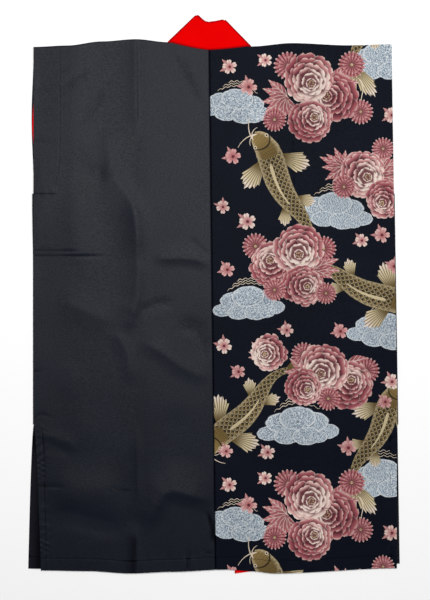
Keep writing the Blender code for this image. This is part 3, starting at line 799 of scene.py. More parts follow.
class Drawing:
    """The print's motifs, painted one over another on the flat cloth."""

    def __init__(self):
        self.outlines, self.kinds, self.locals = [], [], []

    def shape(self, kind, outline, local):
        self.outlines.append(turned_left(outline))
        self.kinds.append(kind)
        self.locals.append(local)

    def set_shape(self, kind, x, y, turn, length, width, edge, tone):
        """A shape given by rows of (share of length, share of width) round its edge."""
        c, s = math.cos(turn), math.sin(turn)
        outline = [
            (x + c * t * length - s * w * width, y + s * t * length + c * w * width)
            for t, w in edge
        ]

        def local(px, py):
            dx, dy = px - x, py - y
            ahead, aside = c * dx + s * dy, -s * dx + c * dy
            flat = np.full(px.shape, tone)
            return (np.stack([ahead / length, aside / width, flat], -1),
                    np.stack([ahead, aside, flat], -1))

        self.shape(kind, outline, local)

    def two_sided(self, half, dice, wobble, tip):
        """A petal's or leaf's edge: one side out to the tip and the other side back."""
        edge = [(t + dice.uniform(-wobble, wobble), -w * dice.uniform(0.93, 1.05)) for t, w in half]
        edge += [tip]
        edge += [(t + dice.uniform(-wobble, wobble), w * dice.uniform(0.93, 1.05))
                 for t, w in half[::-1]]
        return edge

    def bloom(self, x, y, size, turn, tone, dice):
        """A large many-petalled blossom, seen a little from the side."""
        lean_x, lean_y = math.cos(turn) * 0.30 * size, math.sin(turn) * 0.30 * size
        for ring in BLOOM_RINGS:
            cx = x + lean_x * (1 - ring.reach)
            cy = y + lean_y * (1 - ring.reach)
            start = dice.uniform(0, 6.28)
            for i in range(ring.petals):
                angle = start + 2 * math.pi * i / ring.petals + dice.uniform(-0.13, 0.13)
                length = size * ring.reach * dice.uniform(0.9, 1.06)
                shade = 0.72 * ring.paler + 0.42 * tone - 0.08 + dice.uniform(-0.12, 0.12)
                shade += 0.26 * math.cos(angle - turn) * (1 - ring.paler / 2)
                shade = min(1, max(0, shade))
                tip = (0.92 + dice.uniform(-0.03, 0.03), dice.uniform(-0.1, 0.1))
                edge = self.two_sided(PETAL_EDGE, dice, 0.022, tip)
                breadth = size * ring.breadth * dice.uniform(0.92, 1.1)
                self.set_shape("petal", cx, cy, angle, length, breadth, edge, shade)
        for i in range(STAMENS):
            angle = 2 * math.pi * i / STAMENS + dice.uniform(-0.2, 0.2)
            reach = size * dice.uniform(0.05, 0.13)
            self.dot("gold", x + lean_x * 0.8 + reach * math.cos(angle),
                     y + lean_y * 0.8 + reach * math.sin(angle), 1.25)

    def dot(self, kind, x, y, radius, sides=8):
        self.set_shape(kind, x, y, 0.0, radius, radius, petalled(sides, ((0, 1),)), 0.5)

    def rosette(self, x, y, size, turn, tone, dice):
        """A flower of many narrow petals in two tiers."""
        for kind, petals, reach, shade in (
                ("rosette", 19, 1.0, tone), ("rosette_heart", 15, 0.66, min(1, tone + 0.2))):
            start = dice.uniform(0, 6.28)
            edge = petalled(petals, ROSETTE_PETAL, start)
            self.set_shape(kind, x, y, 0.0, size * reach, size * reach, edge, shade)
            self.locals[-1] = self.spun(self.locals[-1], start)
        self.dot("gold", x, y, size * 0.11, 10)

    @staticmethod
    def spun(local, start):
        """The same coordinates, turned so that the flower's first petal lies along them."""
        def turned(px, py):
            motif, run = local(px, py)
            c, s = math.cos(start), math.sin(start)
            first = motif[..., 0] * c + motif[..., 1] * s
            motif[..., 1] = -motif[..., 0] * s + motif[..., 1] * c
            motif[..., 0] = first
            return motif, run
        return turned

    def little(self, x, y, size, turn, tone, dice):
        """A small five-petalled blossom with two buds' leaves behind it."""
        for side in (-1, 1):
            edge = self.two_sided(LEAF_EDGE, dice, 0.01, (1.0, 0))
            away = turn + math.pi + side * 0.6
            self.set_shape("leaf", x, y, away, size * 1.5, size * 0.3, edge, 0.4)
        self.set_shape("little", x, y, turn, size, size, petalled(5, LITTLE_PETAL), tone)
        for i in range(5):
            angle = turn + 2 * math.pi * (i + 0.5) / 5
            self.dot("gold", x + 0.34 * size * math.cos(angle), y + 0.34 * size * math.sin(angle),
                     0.8, 6)

    def spray(self, x, y, size, turn, tone, dice):
        """Pointed leaves that fan out from behind the blossoms."""
        for step in range(-3, 4):
            angle = turn + step * 0.42 + dice.uniform(-0.1, 0.1)
            length = size * (1.0 - 0.07 * abs(step)) * dice.uniform(0.85, 1.05)
            edge = self.two_sided(LEAF_EDGE, dice, 0.03, (1.0, dice.uniform(-0.1, 0.1)))
            shade = min(1, max(0, tone + dice.uniform(-0.2, 0.2)))
            self.set_shape("leaf", x, y, angle, length, size * 0.17, edge, shade)

    def ribbon(self, kind, points, start, end):
        """A stroke along points that narrows from one half width to the other."""
        points = np.asarray(points, float)
        ahead = np.gradient(points, axis=0)
        ahead /= np.maximum(np.linalg.norm(ahead, axis=1, keepdims=True), 1e-9)
        aside = np.stack([-ahead[:, 1], ahead[:, 0]], -1)
        share = np.linspace(0, 1, len(points))[:, None]
        half = mix(start, end, share) * np.minimum(1, 0.3 + 6 * share)
        outline = np.concatenate([points + aside * half, (points - aside * half)[::-1]])

        def local(px, py):
            flat = np.full((*px.shape, 3), 0.5)
            return flat, flat

        self.shape(kind, [tuple(p) for p in outline], local)

    def cloud(self, x, y, size, turn, tone, dice):
        """Lobes of mist in overlapping tiers, with a fine wavy line above."""
        c, s = math.cos(turn), math.sin(turn)
        for lobe in CLOUD_LOBES:
            cx, cy = (x + size * (c * lobe.x - s * lobe.y), y + size * (s * lobe.x + c * lobe.y))
            ripple = dice.uniform(0, 3.14)
            edge = []
            for i in range(LOBE_SIDES):
                angle = 2 * math.pi * i / LOBE_SIDES
                out = 0.94 + 0.09 * abs(math.sin(4.5 * angle + ripple)) + dice.uniform(-0.02, 0.02)
                edge.append((out * math.cos(angle), 0.62 * out * math.sin(angle)))
            self.set_shape("cloud", cx, cy, turn, size * lobe.reach, size * lobe.reach, edge, tone)
        for lift, reach in ((1.40, 1.2), (1.54, 0.9), (1.68, 0.6)):
            along_line = np.linspace(-reach, reach, 26)
            line_y = -lift + 0.25 * along_line**2 + 0.045 * np.sin(along_line * 19)
            path = [(x + size * (c * u - s * w), y + size * (s * u + c * w))
                    for u, w in zip(along_line, line_y)]
            self.ribbon("tendril", path, 0.6, 0.3)

    def carp(self, x, y, size, turn, tone, dice):
        """A carp in a curve, with scales, spread fins, a forked tail and barbels."""
        bend = 0.9 if tone < 0.5 else -0.9
        share = np.linspace(0, 1, SPINE_STEPS)
        heading = turn + bend * (1.5 * (share - 0.5) + 0.55 * np.sin(share * 2 * math.pi))
        ahead = np.stack([np.cos(heading), np.sin(heading)], -1) * size / (SPINE_STEPS - 1)
        spine = np.cumsum(ahead, axis=0)
        spine += np.array([x, y]) - spine[SPINE_STEPS // 2]
        aside = np.stack([-np.sin(heading), np.cos(heading)], -1)
        table = np.array(CARP_BODY)
        widest = size * 0.108

        def half(at):
            return widest * np.interp(at, table[:, 0], table[:, 1])

        def place(at, out):
            i = min(SPINE_STEPS - 1, max(0, int(round(at * (SPINE_STEPS - 1)))))
            return spine[i] + aside[i] * out

        def flank(side, start, end, count):
            shares = np.linspace(start, end, count)
            return [tuple(place(at, side * float(half(at)))) for at in shares]

        def whisker(root, angles, reach, parts, widths):
            steps = np.stack([np.cos(angles), np.sin(angles)], -1) * size * reach / parts
            self.ribbon("tendril", root + np.cumsum(steps, axis=0), *widths)

        def spread_fin(fin, side):
            i = int(round(fin.at * (SPINE_STEPS - 1)))
            root = spine[i] + aside[i] * side * half(fin.at) * fin.out
            edge = [(0.0, -FIN_ROOT)]
            for r in range(fin.rays + 1):
                angle = mix(-FIN_SPREAD, FIN_SPREAD, r / fin.rays)
                reach = 1.0 - 0.35 * abs(angle) + dice.uniform(-0.03, 0.03)
                edge.append((reach * math.cos(angle), reach * math.sin(angle)))
                if r < fin.rays:
                    between = mix(-FIN_SPREAD, FIN_SPREAD, (r + 0.5) / fin.rays)
                    dip = 0.90 - 0.35 * abs(between)
                    edge.append((dip * math.cos(between), dip * math.sin(between)))
            edge.append((0.0, FIN_ROOT))
            self.set_shape("fin", *root, heading[i] + side * fin.spin, size * fin.length,
                           size * fin.width, edge, fin.shade)

        def local(px, py):
            flat = np.stack([px.ravel(), py.ravel()], -1)
            gaps = np.linalg.norm(flat[:, None, :] - spine[None, :, :], axis=2)
            near = np.clip(gaps.argmin(1), 1, SPINE_STEPS - 2)
            off = flat - spine[near]
            forward = (off * ahead[near]).sum(1) / (np.linalg.norm(ahead[near], axis=1) ** 2)
            out = (off * aside[near]).sum(1)
            run_at = (near + forward) / (SPINE_STEPS - 1)
            tones = np.full(run_at.shape, tone)
            motif = np.stack([run_at, out / np.maximum(half(run_at), 1), tones], -1)
            run = np.stack([run_at * size, out, tones], -1)
            return motif.reshape(*px.shape, 3), run.reshape(*px.shape, 3)

        for fin, side in itertools.product(CARP_FINS, (-1, 1)):
            spread_fin(fin, side)
        self.shape("scales", flank(-1, 0, 1, 27) + flank(1, 1, 0, 27), local)
        nape = [tuple(place(0.215, 0.5 * widest * u)) for u in (-0.9, 0.0, 0.9)]
        self.shape("head", flank(-1, 0, 0.17, 7) + nape + flank(1, 0.17, 0, 7), local)
        back_fin = 0.16 * widest * (1 if bend > 0 else -1)
        self.ribbon("fin", [place(at, back_fin) for at in np.linspace(0.28, 0.62, 12)], 3.4, 0.8)
        for side in (-1, 1):
            eye = place(0.085, side * 0.62 * widest)
            self.dot("tendril", *eye, 3.0, 12)
            self.dot("ink", *eye, 1.7, 10)
            for reach, curl in ((0.20, 1.0), (0.13, 1.8)):
                angles = heading[0] + math.pi + side * (0.5 + curl * np.linspace(0, 1, 18))
                whisker(place(0.02, side * 0.3 * widest), angles, reach, 18, (1.1, 0.35))
        tail = heading[-1]
        root = place(1.0, 0) + np.array([math.cos(tail), math.sin(tail)]) * size * 0.1
        for offset in (-0.5, 0.0, 0.5):
            angles = tail + offset + 0.9 * np.sin(np.linspace(0, 1, 20) * 3.6 + offset)
            whisker(root, angles, 0.016, 1, (1.2, 0.3))


KINDS = ("ground", "reverse", "petal", "rosette", "rosette_heart", "little", "leaf", "cloud",
         "scales", "head", "fin", "tendril", "gold", "ink")
PAINTED_IN_TURN = (("cloud",), ("carp",), ("spray", "rosette", "bloom", "little"))


def draw_print(low, high):
    """All motifs of the print between two lengths along the cloth."""
    drawing = Drawing()
    first = math.floor((low - REPEAT_REACH) / PRINT_REPEAT)
    last = math.ceil((high + REPEAT_REACH) / PRINT_REPEAT)
    for kinds, repeat in itertools.product(PAINTED_IN_TURN, range(first, last + 1)):
        for number, motif in enumerate(PRINT):
            down = motif.down + repeat * PRINT_REPEAT
            seen = low - MOTIF_REACH < down < high + MOTIF_REACH
            if seen and motif.kind in kinds:
                dice = random.Random(100 + number)
                draw = getattr(drawing, motif.kind)
                draw(motif.across, down, motif.size, math.radians(motif.turn), motif.tone, dice)
    return drawing


def printed_outline(cut):
    """The right half's cut on the flat, as a ring of (across, length) points."""
    side = RIGHT
    ring = []

    def add_front(across, down):
        ring.append((across, float(cut.front_down(side, np.array(across), down))))

    seam_hem = cut.seam(cut.length) + SEAM_GAP
    edge_hem = float(cut.edge(side, "back", along(BACK_HEM, BACK_HEM_END)))
    for a in np.linspace(seam_hem, edge_hem, 42):
        ring.append((a, float(along(BACK_HEM, a))))
    edge_top = float(cut.edge(side, "back", 0))
    top, radius = (float(v) for v in cut.shoulder(side, np.array(edge_top)))
    for down in np.linspace(ring[-1][1], top, EDGE_ROWS)[1:]:
        ring.append((float(cut.edge(side, "back", down)), down))
    for step in range(1, FOLD_TURNS + 1):
        ring.append((edge_top, top - math.pi * radius * step / FOLD_TURNS))
    front_end = float(along(FRONT_HEMS[side], FRONT_HEM_END))
    for down in np.linspace(top, front_end, EDGE_ROWS)[1:]:
        add_front(float(cut.edge(side, "front", down)), down)
    inner_end = float(along(FRONT_HEMS[side], FRONT_HEM_START))
    inner_hem = cut.seam(inner_end) + cut.band(inner_end) + GAP
    for a in np.linspace(ring[-1][0], inner_hem, 34)[1:]:
        add_front(a, float(along(FRONT_HEMS[side], a)))
    corner = cut.seam(0) + cut.neck + GAP
    top, radius = (float(v) for v in cut.shoulder(side, np.array(corner)))
    for down in np.linspace(inner_end, top + 1, EDGE_ROWS)[1:]:
        add_front(max(corner, cut.seam(down) + cut.band(down) + GAP), down)
    for step in range(FOLD_TURNS, -1, -1):
        ring.append((corner, top - math.pi * radius * step / FOLD_TURNS))
    for a in np.linspace(corner, cut.seam(0) + SEAM_GAP, 20)[1:]:
        ring.append((a, float(cut.neckline(side, a))))
    for down in np.linspace(ring[-1][1], ring[0][1], EDGE_ROWS)[1:-1]:
        ring.append((cut.seam(down) + SEAM_GAP, down))
    return ring


def clipped(ring, low, high):
    """The part of a ring of points between two lengths, where it crosses each one twice."""
    for sign, limit in ((1, low), (-1, high)):
        kept = []
        for (x0, y0), (x1, y1) in zip(ring, ring[1:] + ring[:1]):
            in0, in1 = sign * (y0 - limit) >= 0, sign * (y1 - limit) >= 0
            if in0:
                kept.append((x0, y0))
            if in0 != in1:
                share = (limit - y0) / (y1 - y0)
                kept.append((x0 + (x1 - x0) * share, limit))
        ring = kept
    return ring


def print_marks(cut, low, high, cell):
    """Loose points that let the cloth bend: a jittered lattice, then rows that must stay."""
    dice = random.Random(7)
    loose, fixed = [], []
    rows = max(1, round((high - low) / cell))
    for r in range(rows + 1):
        length = mix(low, high, r / rows)
        for c in range(int(LATTICE_WIDTH / cell)):
            if r in (0, rows):
                fixed.append((LATTICE_START + c * cell, low if r == 0 else high))
            else:
                across = LATTICE_START + (c + 0.5 * (r % 2)) * cell
                loose.append((across + dice.uniform(-JITTER, JITTER),
                              length + dice.uniform(-JITTER, JITTER)))
    if low < 0 < high:
        for a in np.arange(cut.seam(0) + cut.neck + GAP + 2, 316, FOLD_STEP):
            top, radius = (float(v) for v in cut.shoulder(RIGHT, np.array(a)))
            fixed += [(a, top - math.pi * radius * step / FOLD_TURNS)
                      for step in range(FOLD_TURNS + 1)]
            fixed.append((a, top + 2.5))
    for a in np.arange(cut.seam(cut.length) + 2, BACK_HEM_END, HEM_STEP):
        for offset in (-1.4, 0, 1.4):
            length = float(along(BACK_HEM, a)) - cut.hem_turn + offset
            if low + 0.5 < length < high - 0.5:
                fixed.append((a, length))
    for down in np.arange(max(low + 2, 14), min(high - 1, 935), SEAM_STEP):
        fixed += [(cut.seam(down) + offset, down) for offset in (1.3, 3.0, 8.0, 10.5)]
    return loose, fixed


def under(tree, flat, face):
    """The number of the tree's face under the middle of a face, or None."""
    x = sum(flat[i][0] for i in face) / len(face)
    y = sum(flat[i][1] for i in face) / len(face)
    return tree.ray_cast((x, y, 1.0), (0, 0, -1))[2]


def rim_ring(faces):
    """The outer points of a sheet in order, with the sheet on the left of them."""
    edges = {(a, b) for face in faces for a, b in zip(face, face[1:] + face[:1])}
    onward = {a: b for a, b in edges if (b, a) not in edges}
    ring = [next(iter(onward))]
    while onward[ring[-1]] != ring[0]:
        ring.append(onward[ring[-1]])
    return ring


def shown_pieces(band, marks, drawing, boxes, low, high):
    """Triangles of one band of cloth, with the number of the topmost motif on each."""
    points, outlines, numbers = [Vector(p) for p in band], [list(range(len(band)))], [-1]
    for number, outline in enumerate(drawing.outlines):
        if boxes[number][0] < high and boxes[number][1] > low:
            outlines.append(list(range(len(points), len(points) + len(outline))))
            numbers.append(number)
            points += [Vector(p) for p in outline]
    flat, _, faces, _, _, owners = delaunay_2d_cdt(points, [], outlines, 1, 1e-4, True)
    inside = [f for f, owner in enumerate(owners) if 0 in owner]
    faces = [faces[f] for f in inside]
    tops = [numbers[max(owners[f])] for f in inside]
    beside = {}
    for face, top in zip(faces, tops):
        for a, b in zip(face, face[1:] + face[:1]):
            beside.setdefault((min(a, b), max(a, b)), []).append(top)
    seen = [edge for edge, near in beside.items() if len(near) == 2 and near[0] != near[1]]
    ring = rim_ring(faces)
    used = sorted({i for edge in seen for i in edge} | set(ring))
    order = {old: new for new, old in enumerate(used)}
    kept = np.array([flat[i] for i in used])
    loose, fixed = marks
    clear = [p for p in loose if np.min(np.abs(kept - p).max(axis=1)) > 0.45 * PRINT_CELL]
    points = [Vector(p) for p in kept] + [Vector(p) for p in fixed + clear]
    edges = [(order[a], order[b]) for a, b in seen]
    tree = BVHTree.FromPolygons([(x, y, 0.0) for x, y in flat], faces)
    domain = [[order[i] for i in ring]]
    flat, _, faces, _, _, owners = delaunay_2d_cdt(points, edges, domain, 1, 1e-4, True)
    faces = [face for face, owner in zip(faces, owners) if owner]
    found = [under(tree, flat, face) for face in faces]
    return flat, [(face, -1 if f is None else tops[f]) for face, f in zip(faces, found)]


def printed_front(cut, drawing, ring):
    """The print's flat points, faces and motif numbers, worked out band by band."""
    ends = (min(p[1] for p in ring), max(p[1] for p in ring))
    down_cuts = [60 + BAND_HEIGHT * i for i in range(8)]
    stops = [ends[0] - 1] + [-c for c in reversed(down_cuts) if -c > ends[0] + 20]
    stops += [c for c in down_cuts if c < ends[1] - 20] + [ends[1] + 1]
    boxes = [(min(p[1] for p in o), max(p[1] for p in o)) for o in drawing.outlines]
    sheet = bmesh.new()
    chosen = sheet.faces.layers.int.new("shape")
    for low, high in zip(stops, stops[1:]):
        band = turned_left(clipped(ring, low, high))
        marks = print_marks(cut, max(low, ends[0]), min(high, ends[1]), PRINT_CELL)
        flat, pieces = shown_pieces(band, marks, drawing, boxes, low, high)
        corners = {}
        for face, top in pieces:
            for i in face:
                if i not in corners:
                    corners[i] = sheet.verts.new((flat[i][0], flat[i][1], 0))
            sheet.faces.new([corners[i] for i in face])[chosen] = top
    bmesh.ops.remove_doubles(sheet, verts=sheet.verts, dist=0.004)
    sheet.verts.index_update()
    flat = np.array([(v.co.x, v.co.y) for v in sheet.verts])
    faces, shapes = [], []
    for face in sheet.faces:
        faces.append(tuple(v.index for v in reversed(face.verts)))
        shapes.append(face[chosen])
    sheet.free()
    return flat, faces, shapes


def lining(cut, flat, faces):
    """A coarser sheet with the same rim, for the inside of the cloth."""
    used = rim_ring([face[::-1] for face in faces])
    low, high = flat[:, 1].min(), flat[:, 1].max()
    kept = flat[used]
    loose, fixed = print_marks(cut, low, high, LINING_CELL)
    fold = [p for p in fixed if abs(p[1]) < 25]
    clear = [p for p in loose + fold if np.min(np.abs(kept - p).max(axis=1)) > 1.5]
    points = [Vector(p) for p in kept] + [Vector(p) for p in clear]
    domain = [list(range(len(used)))]
    inner, _, pieces, origins, _, owners = delaunay_2d_cdt(points, [], domain, 1, 1e-5, True)
    pieces = [face for face, owner in zip(pieces, owners) if owner]
    needed, order, pieces = renumbered(pieces)
    twins = {used[old]: order[new] for new in needed for old in origins[new] if old < len(used)}
    return np.array([tuple(inner[i]) for i in needed]), pieces, twins


def printed_cloth(cut):
    """The right half, cut up along every motif's outline so that each keeps its edge."""
    ring = printed_outline(cut)
    drawing = draw_print(min(p[1] for p in ring), max(p[1] for p in ring))
    flat, faces, shapes = printed_front(cut, drawing, ring)
    inner, inner_faces, twins = lining(cut, flat, faces)
    loops = np.array(faces).ravel()
    owners = np.repeat(shapes, 3)
    motif, run = np.zeros((len(loops), 3)), np.zeros((len(loops), 3))
    order = np.argsort(owners, kind="stable")
    starts = np.searchsorted(owners[order], np.arange(len(drawing.outlines)))
    stops = np.searchsorted(owners[order], np.arange(len(drawing.outlines)), side="right")
    for number, local in enumerate(drawing.locals):
        picked = order[starts[number]:stops[number]]
        if len(picked):
            motif[picked], run[picked] = local(flat[loops[picked], 0], flat[loops[picked], 1])
    kinds = [0 if shape < 0 else KINDS.index(drawing.kinds[shape]) for shape in shapes]
    lengths = np.repeat(flat[np.array(faces), 1].mean(axis=1), 3)
    inner_loops = np.array(inner_faces)
    inner_lengths = np.repeat(inner[inner_loops, 1].mean(axis=1), 3)
    cloth = Cloth()
    cloth.add(
        cut.surface(RIGHT, flat[:, 0], flat[:, 1]), cut.normals(RIGHT, flat[:, 0], flat[:, 1]),
        faces, CLOTH_HALF * MM, kinds, motif, run, bake_places(flat[loops], lengths),
        Lining(cut.surface(RIGHT, inner[:, 0], inner[:, 1]),
               cut.normals(RIGHT, inner[:, 0], inner[:, 1]), inner_faces, twins,
               bake_places(inner[inner_loops.ravel()], inner_lengths),
               cut.painted_shade(RIGHT, inner[:, 0], inner[:, 1])),
        cut.painted_shade(RIGHT, flat[:, 0], flat[:, 1]),
    )
    side_seam(cut, RIGHT, cloth, 0)
    return cloth


def grid_normals(points):
    """Normals of a grid of points, from its rows and columns."""
    normal = np.cross(np.gradient(points, axis=0), np.gradient(points, axis=1))
    return normal / np.maximum(np.linalg.norm(normal, axis=-1, keepdims=True), 1e-12)


def padded_strip(middle, half, dark):
    """A strip with rounded edges round a grid of middle points, rows along the strip."""
    rows, columns = middle.shape[:2]
    out = grid_normals(middle)
    faces = grid_faces(rows, columns, np.ones((rows, columns), bool))
    front, back = middle + out * half, middle - out * half
    cloth = Cloth()
    u, v = np.linspace(0.01, 0.33, columns), np.linspace(0.01, 0.99, rows)
    flat = np.stack(np.meshgrid(u, v), -1)
    corners = flat.reshape(-1, 2)[[i for face in faces for i in face]]
    lining = same_faces(back.reshape(-1, 3), grid_normals(back).reshape(-1, 3), faces, corners,
                        dark.ravel())
    cloth.add(front.reshape(-1, 3), grid_normals(front).reshape(-1, 3), faces, 0.0,
              [0] * len(faces), bake=corners, lining=lining, dark=dark.ravel())
    return cloth


def rounded(shares, width, half):
    """Half thickness across a strip that closes in a half round at both edges."""
    edge = np.minimum(shares, 1 - shares) * width / half
    return half * np.sqrt(np.clip(1 - (1 - np.clip(edge, 0, 1)) ** 2, 0.02, 1))


def band_path(cut, side):
    """Rows of the collar on one front from its hem end to the mitre: sewn and free edge."""
    mitre = MITRES[side]
    free_end, sewn_end = COLLAR_ENDS[side]
    rows = []
    for climb in np.linspace(0, 1, BAND_ROWS):
        sewn_down, free_down = mix(sewn_end, MITRE_START, climb), mix(free_end, MITRE_START, climb)
        sewn = cut.seam(sewn_down) + side * (cut.band(sewn_down) - GAP / 2)
        free = cut.seam(free_down) + side * (cut.band(free_down) - cut.collar)
        rows.append((sewn, sewn_down, free, free_down))
    sewn_across, _, free_across, _ = rows[-1]
    for share in np.linspace(0, 1, MITRE_ROWS)[1:]:
        turned = math.sin(share * math.pi / 2)
        rows.append((
            mix(sewn_across, mitre.corner_across, share),
            mix(MITRE_START, mitre.corner_down, share),
            mix(free_across, mitre.peak_across, share**2),
            mix(MITRE_START, mitre.peak_down, turned),
        ))
    return rows


def collar_cloth(cut):
    """One strip, folded double: up a front, mitred, behind the neck and down the other."""
    half = COLLAR_THICKNESS / 2
    low, high = half, half + COLLAR_THICKNESS + GAP
    radius = (high - low) / 2
    edge = np.array(COLLAR_EDGE_STEPS) * half / cut.collar
    shares = np.concatenate([edge, np.linspace(0.09, 0.91, 11), 1 - edge[::-1]])
    rows, folded = [], []

    def add_row(sewn_across, sewn_down, free_across, free_down, height, shift=(0, 0)):
        across = mix(sewn_across, free_across, shares) + shift[0]
        down = mix(sewn_down, free_down, shares) + shift[1]
        rows.append(np.stack([across, SHOULDER_Y - down, np.full(len(shares), height)], -1))

    def mitre_turn(side):
        mitre = MITRES[side]
        ends = (mitre.corner_across, mitre.corner_down, mitre.peak_across, mitre.peak_down)
        run = (ends[2] - ends[0], ends[3] - ends[1])
        outward = (side * abs(run[1]) / math.hypot(*run), -abs(run[0]) / math.hypot(*run))
        steps = []
        for turn in np.linspace(0, math.pi, TURN_ROWS)[1:-1]:
            out = radius * math.sin(turn)
            height = low + radius * (1 - math.cos(turn))
            steps.append((*ends, height, (outward[0] * out, outward[1] * out)))
        return steps

    for row in band_path(cut, LEFT):
        add_row(*row, low)
    for row in mitre_turn(LEFT):
        folded.append(len(rows))
        add_row(*row)
    start, end = MITRES[LEFT].corner_across, MITRES[RIGHT].corner_across
    table = np.array(COLLAR_SECTIONS)
    for share in np.linspace(0, 1, NECK_ROWS):
        across = mix(start, end, share)
        side = LEFT if across < SEAM_AT_SHOULDER else RIGHT
        down = float(cut.neckline(side, across)) - GAP
        if share in (0.0, 1.0):
            down = MITRES[LEFT if share == 0.0 else RIGHT].corner_down
        top_across = float(np.interp(share, table[:, 0], table[:, 1]))
        sag = float(np.interp(share, table[:, 0], table[:, 2]))
        add_row(across, down, top_across, sag, high)
    for row in mitre_turn(RIGHT)[::-1]:
        folded.append(len(rows))
        add_row(*row)
    for row in band_path(cut, RIGHT)[::-1]:
        add_row(*row, low)
    middle = np.array(rows) * MM
    # Painted shade along both edges of the strip and across the folds at the mitres
    dark = np.zeros(middle.shape[:2])
    fading = EDGE_PAINTED_SHADE * np.array([1, 1, 1, 1, 1, 0.4])
    dark[:, :6], dark[:, -6:] = fading, fading[::-1]
    for row in folded:
        dark[row - 1:row + 2] = EDGE_PAINTED_SHADE
    return padded_strip(middle, rounded(shares, cut.collar, half)[None, :, None] * MM, dark)


def facing_cloth(cut):
    """The red strip round the inside of the left armhole, doubled over at the shoulder."""
    radius = (FACING_HIGH - FACING_LOW) / 2
    edge = np.array([0, 0.3, 1.0]) * FACING_HALF / cut.facing
    shares = np.concatenate([edge, np.linspace(0.06, 0.94, 10), 1 - edge[::-1]])
    back_edge = float(cut.edge(LEFT, "back", 0))
    across = mix(back_edge, back_edge + cut.facing, shares)
    top = along(SHOULDER_LINE, across)
    top = top + (cut.back_height(LEFT, across, np.zeros(len(shares))) - 0.6) / 2 + 0.6
    rows = []

    def add_row(layer, down, height, shift=0):
        setback = FACING_SETBACK
        if layer == "front":
            setback = setback + HIDDEN_SETBACK * (1 - bell(down, *SLIVER))
        start = cut.edge(LEFT, layer, down) + setback
        inner = cut.edge(LEFT, "back", down) + cut.facing
        rows.append(np.stack([mix(start, inner, shares), SHOULDER_Y - down + shift,
                              np.full(len(shares), height)], -1))

    for climb in np.linspace(0, 1, FACING_ROWS):
        add_row("front", mix(cut.armhole, top, climb), FACING_LOW)
    for turn in np.linspace(0, math.pi, FACING_TURNS)[1:]:
        add_row("back", top, FACING_LOW + radius * (1 - math.cos(turn)), radius * math.sin(turn))
    for fall in np.linspace(0, 1, FACING_ROWS)[1:]:
        add_row("back", mix(top, cut.armhole, fall), FACING_HIGH)
    middle = np.array(rows)[:, ::-1] * MM
    dark = np.zeros(middle.shape[:2])
    half = rounded(shares, cut.facing, FACING_HALF)[None, :, None] * MM
    return padded_strip(middle, half, dark)


def stitch_lines(cut, side):
    """Sewing lines on one half, each as points of (across, length) close together."""
    turn = cut.hem_turn
    seam_side = cut.seam(cut.length) + side * 3
    outer = float(cut.edge(side, "back", cut.length - turn)) - side * 2
    hem = np.linspace(seam_side, outer, 200)
    lines = [np.stack([hem, along(BACK_HEM, hem) - turn], -1)]
    slit = np.linspace(cut.slit_top - 4, cut.length - turn, 120)
    wide = cut.slit_turn * mix(1.4, 0.95, cut.opened(slit) ** SLIT_CURVE)
    lines.append(np.stack([cut.edge(side, "back", slit) - side * wide, slit], -1))
    if side == LEFT:
        armhole = np.linspace(14, cut.armhole, 120)
        reach = cut.edge(side, "back", armhole) + cut.armhole_stitch(armhole)
        lines.append(np.stack([reach, armhole], -1))
        tack = np.linspace(float(reach[-1]), float(cut.edge(side, "back", cut.armhole)) + 2, 30)
        lines.append(np.stack([tack, np.full(30, cut.armhole)], -1))
    return lines


def stitches(cut, side):
    """Small thread beads set into the furrows of the stitch lines."""
    sides = STITCH_SIDES
    points, faces = [], []
    for line in stitch_lines(cut, side):
        steps = np.linalg.norm(np.diff(line, axis=0), axis=1)
        reach = np.concatenate([[0], np.cumsum(steps)])
        places = np.arange(STITCH_PITCH, reach[-1] - STITCH_PITCH, STITCH_PITCH)
        spots = [np.stack([np.interp(places + shift, reach, line[:, 0]),
                           np.interp(places + shift, reach, line[:, 1])], -1)
                 for shift in (-STITCH_LENGTH / 2, STITCH_LENGTH / 2)]
        ends = [cut.surface(side, spot[:, 0], spot[:, 1]) for spot in spots]
        middle = (ends[0] + ends[1]) / 2
        up = cut.normals(side, *((spots[0] + spots[1]) / 2).T)
        ahead = ends[1] - ends[0]
        aside = np.cross(up, ahead)
        aside /= np.linalg.norm(aside, axis=1, keepdims=True)
        middle = middle + up * (CLOTH_HALF - STITCH_SUNK) * MM
        for m, a, s, u in zip(middle, ahead / 2, aside, up):
            base = len(points)
            for place, swell in STITCH_RINGS:
                for i in range(sides):
                    angle = 2 * math.pi * i / sides
                    out = s * math.cos(angle) + u * STITCH_FLATNESS * math.sin(angle)
                    points.append(m + a * place + out * swell * STITCH_WIDTH / 2 * MM)
            for r in range(len(STITCH_RINGS) - 1):
                for i in range(sides):
                    j = (i + 1) % sides
                    faces.append((base + r * sides + i, base + r * sides + j,
                                  base + (r + 1) * sides + j, base + (r + 1) * sides + i))
            faces.append(tuple(base + i for i in reversed(range(sides))))
            last = base + (len(STITCH_RINGS) - 1) * sides
            faces.append(tuple(last + i for i in range(sides)))
    return points, faces


class Value:
    """What a node works out. Sums on it add the nodes that do them."""

    def __init__(self, dye, socket):
        self.dye, self.socket = dye, socket

    def __add__(self, other):
        return self.dye.sum("ADD", self, other)

    def __sub__(self, other):
        return self.dye.sum("SUBTRACT", self, other)

    def __rsub__(self, other):
        return self.dye.sum("SUBTRACT", other, self)

    def __mul__(self, other):
        return self.dye.sum("MULTIPLY", self, other)

    def __abs__(self):
        return self.dye.sum("ABSOLUTE", self)


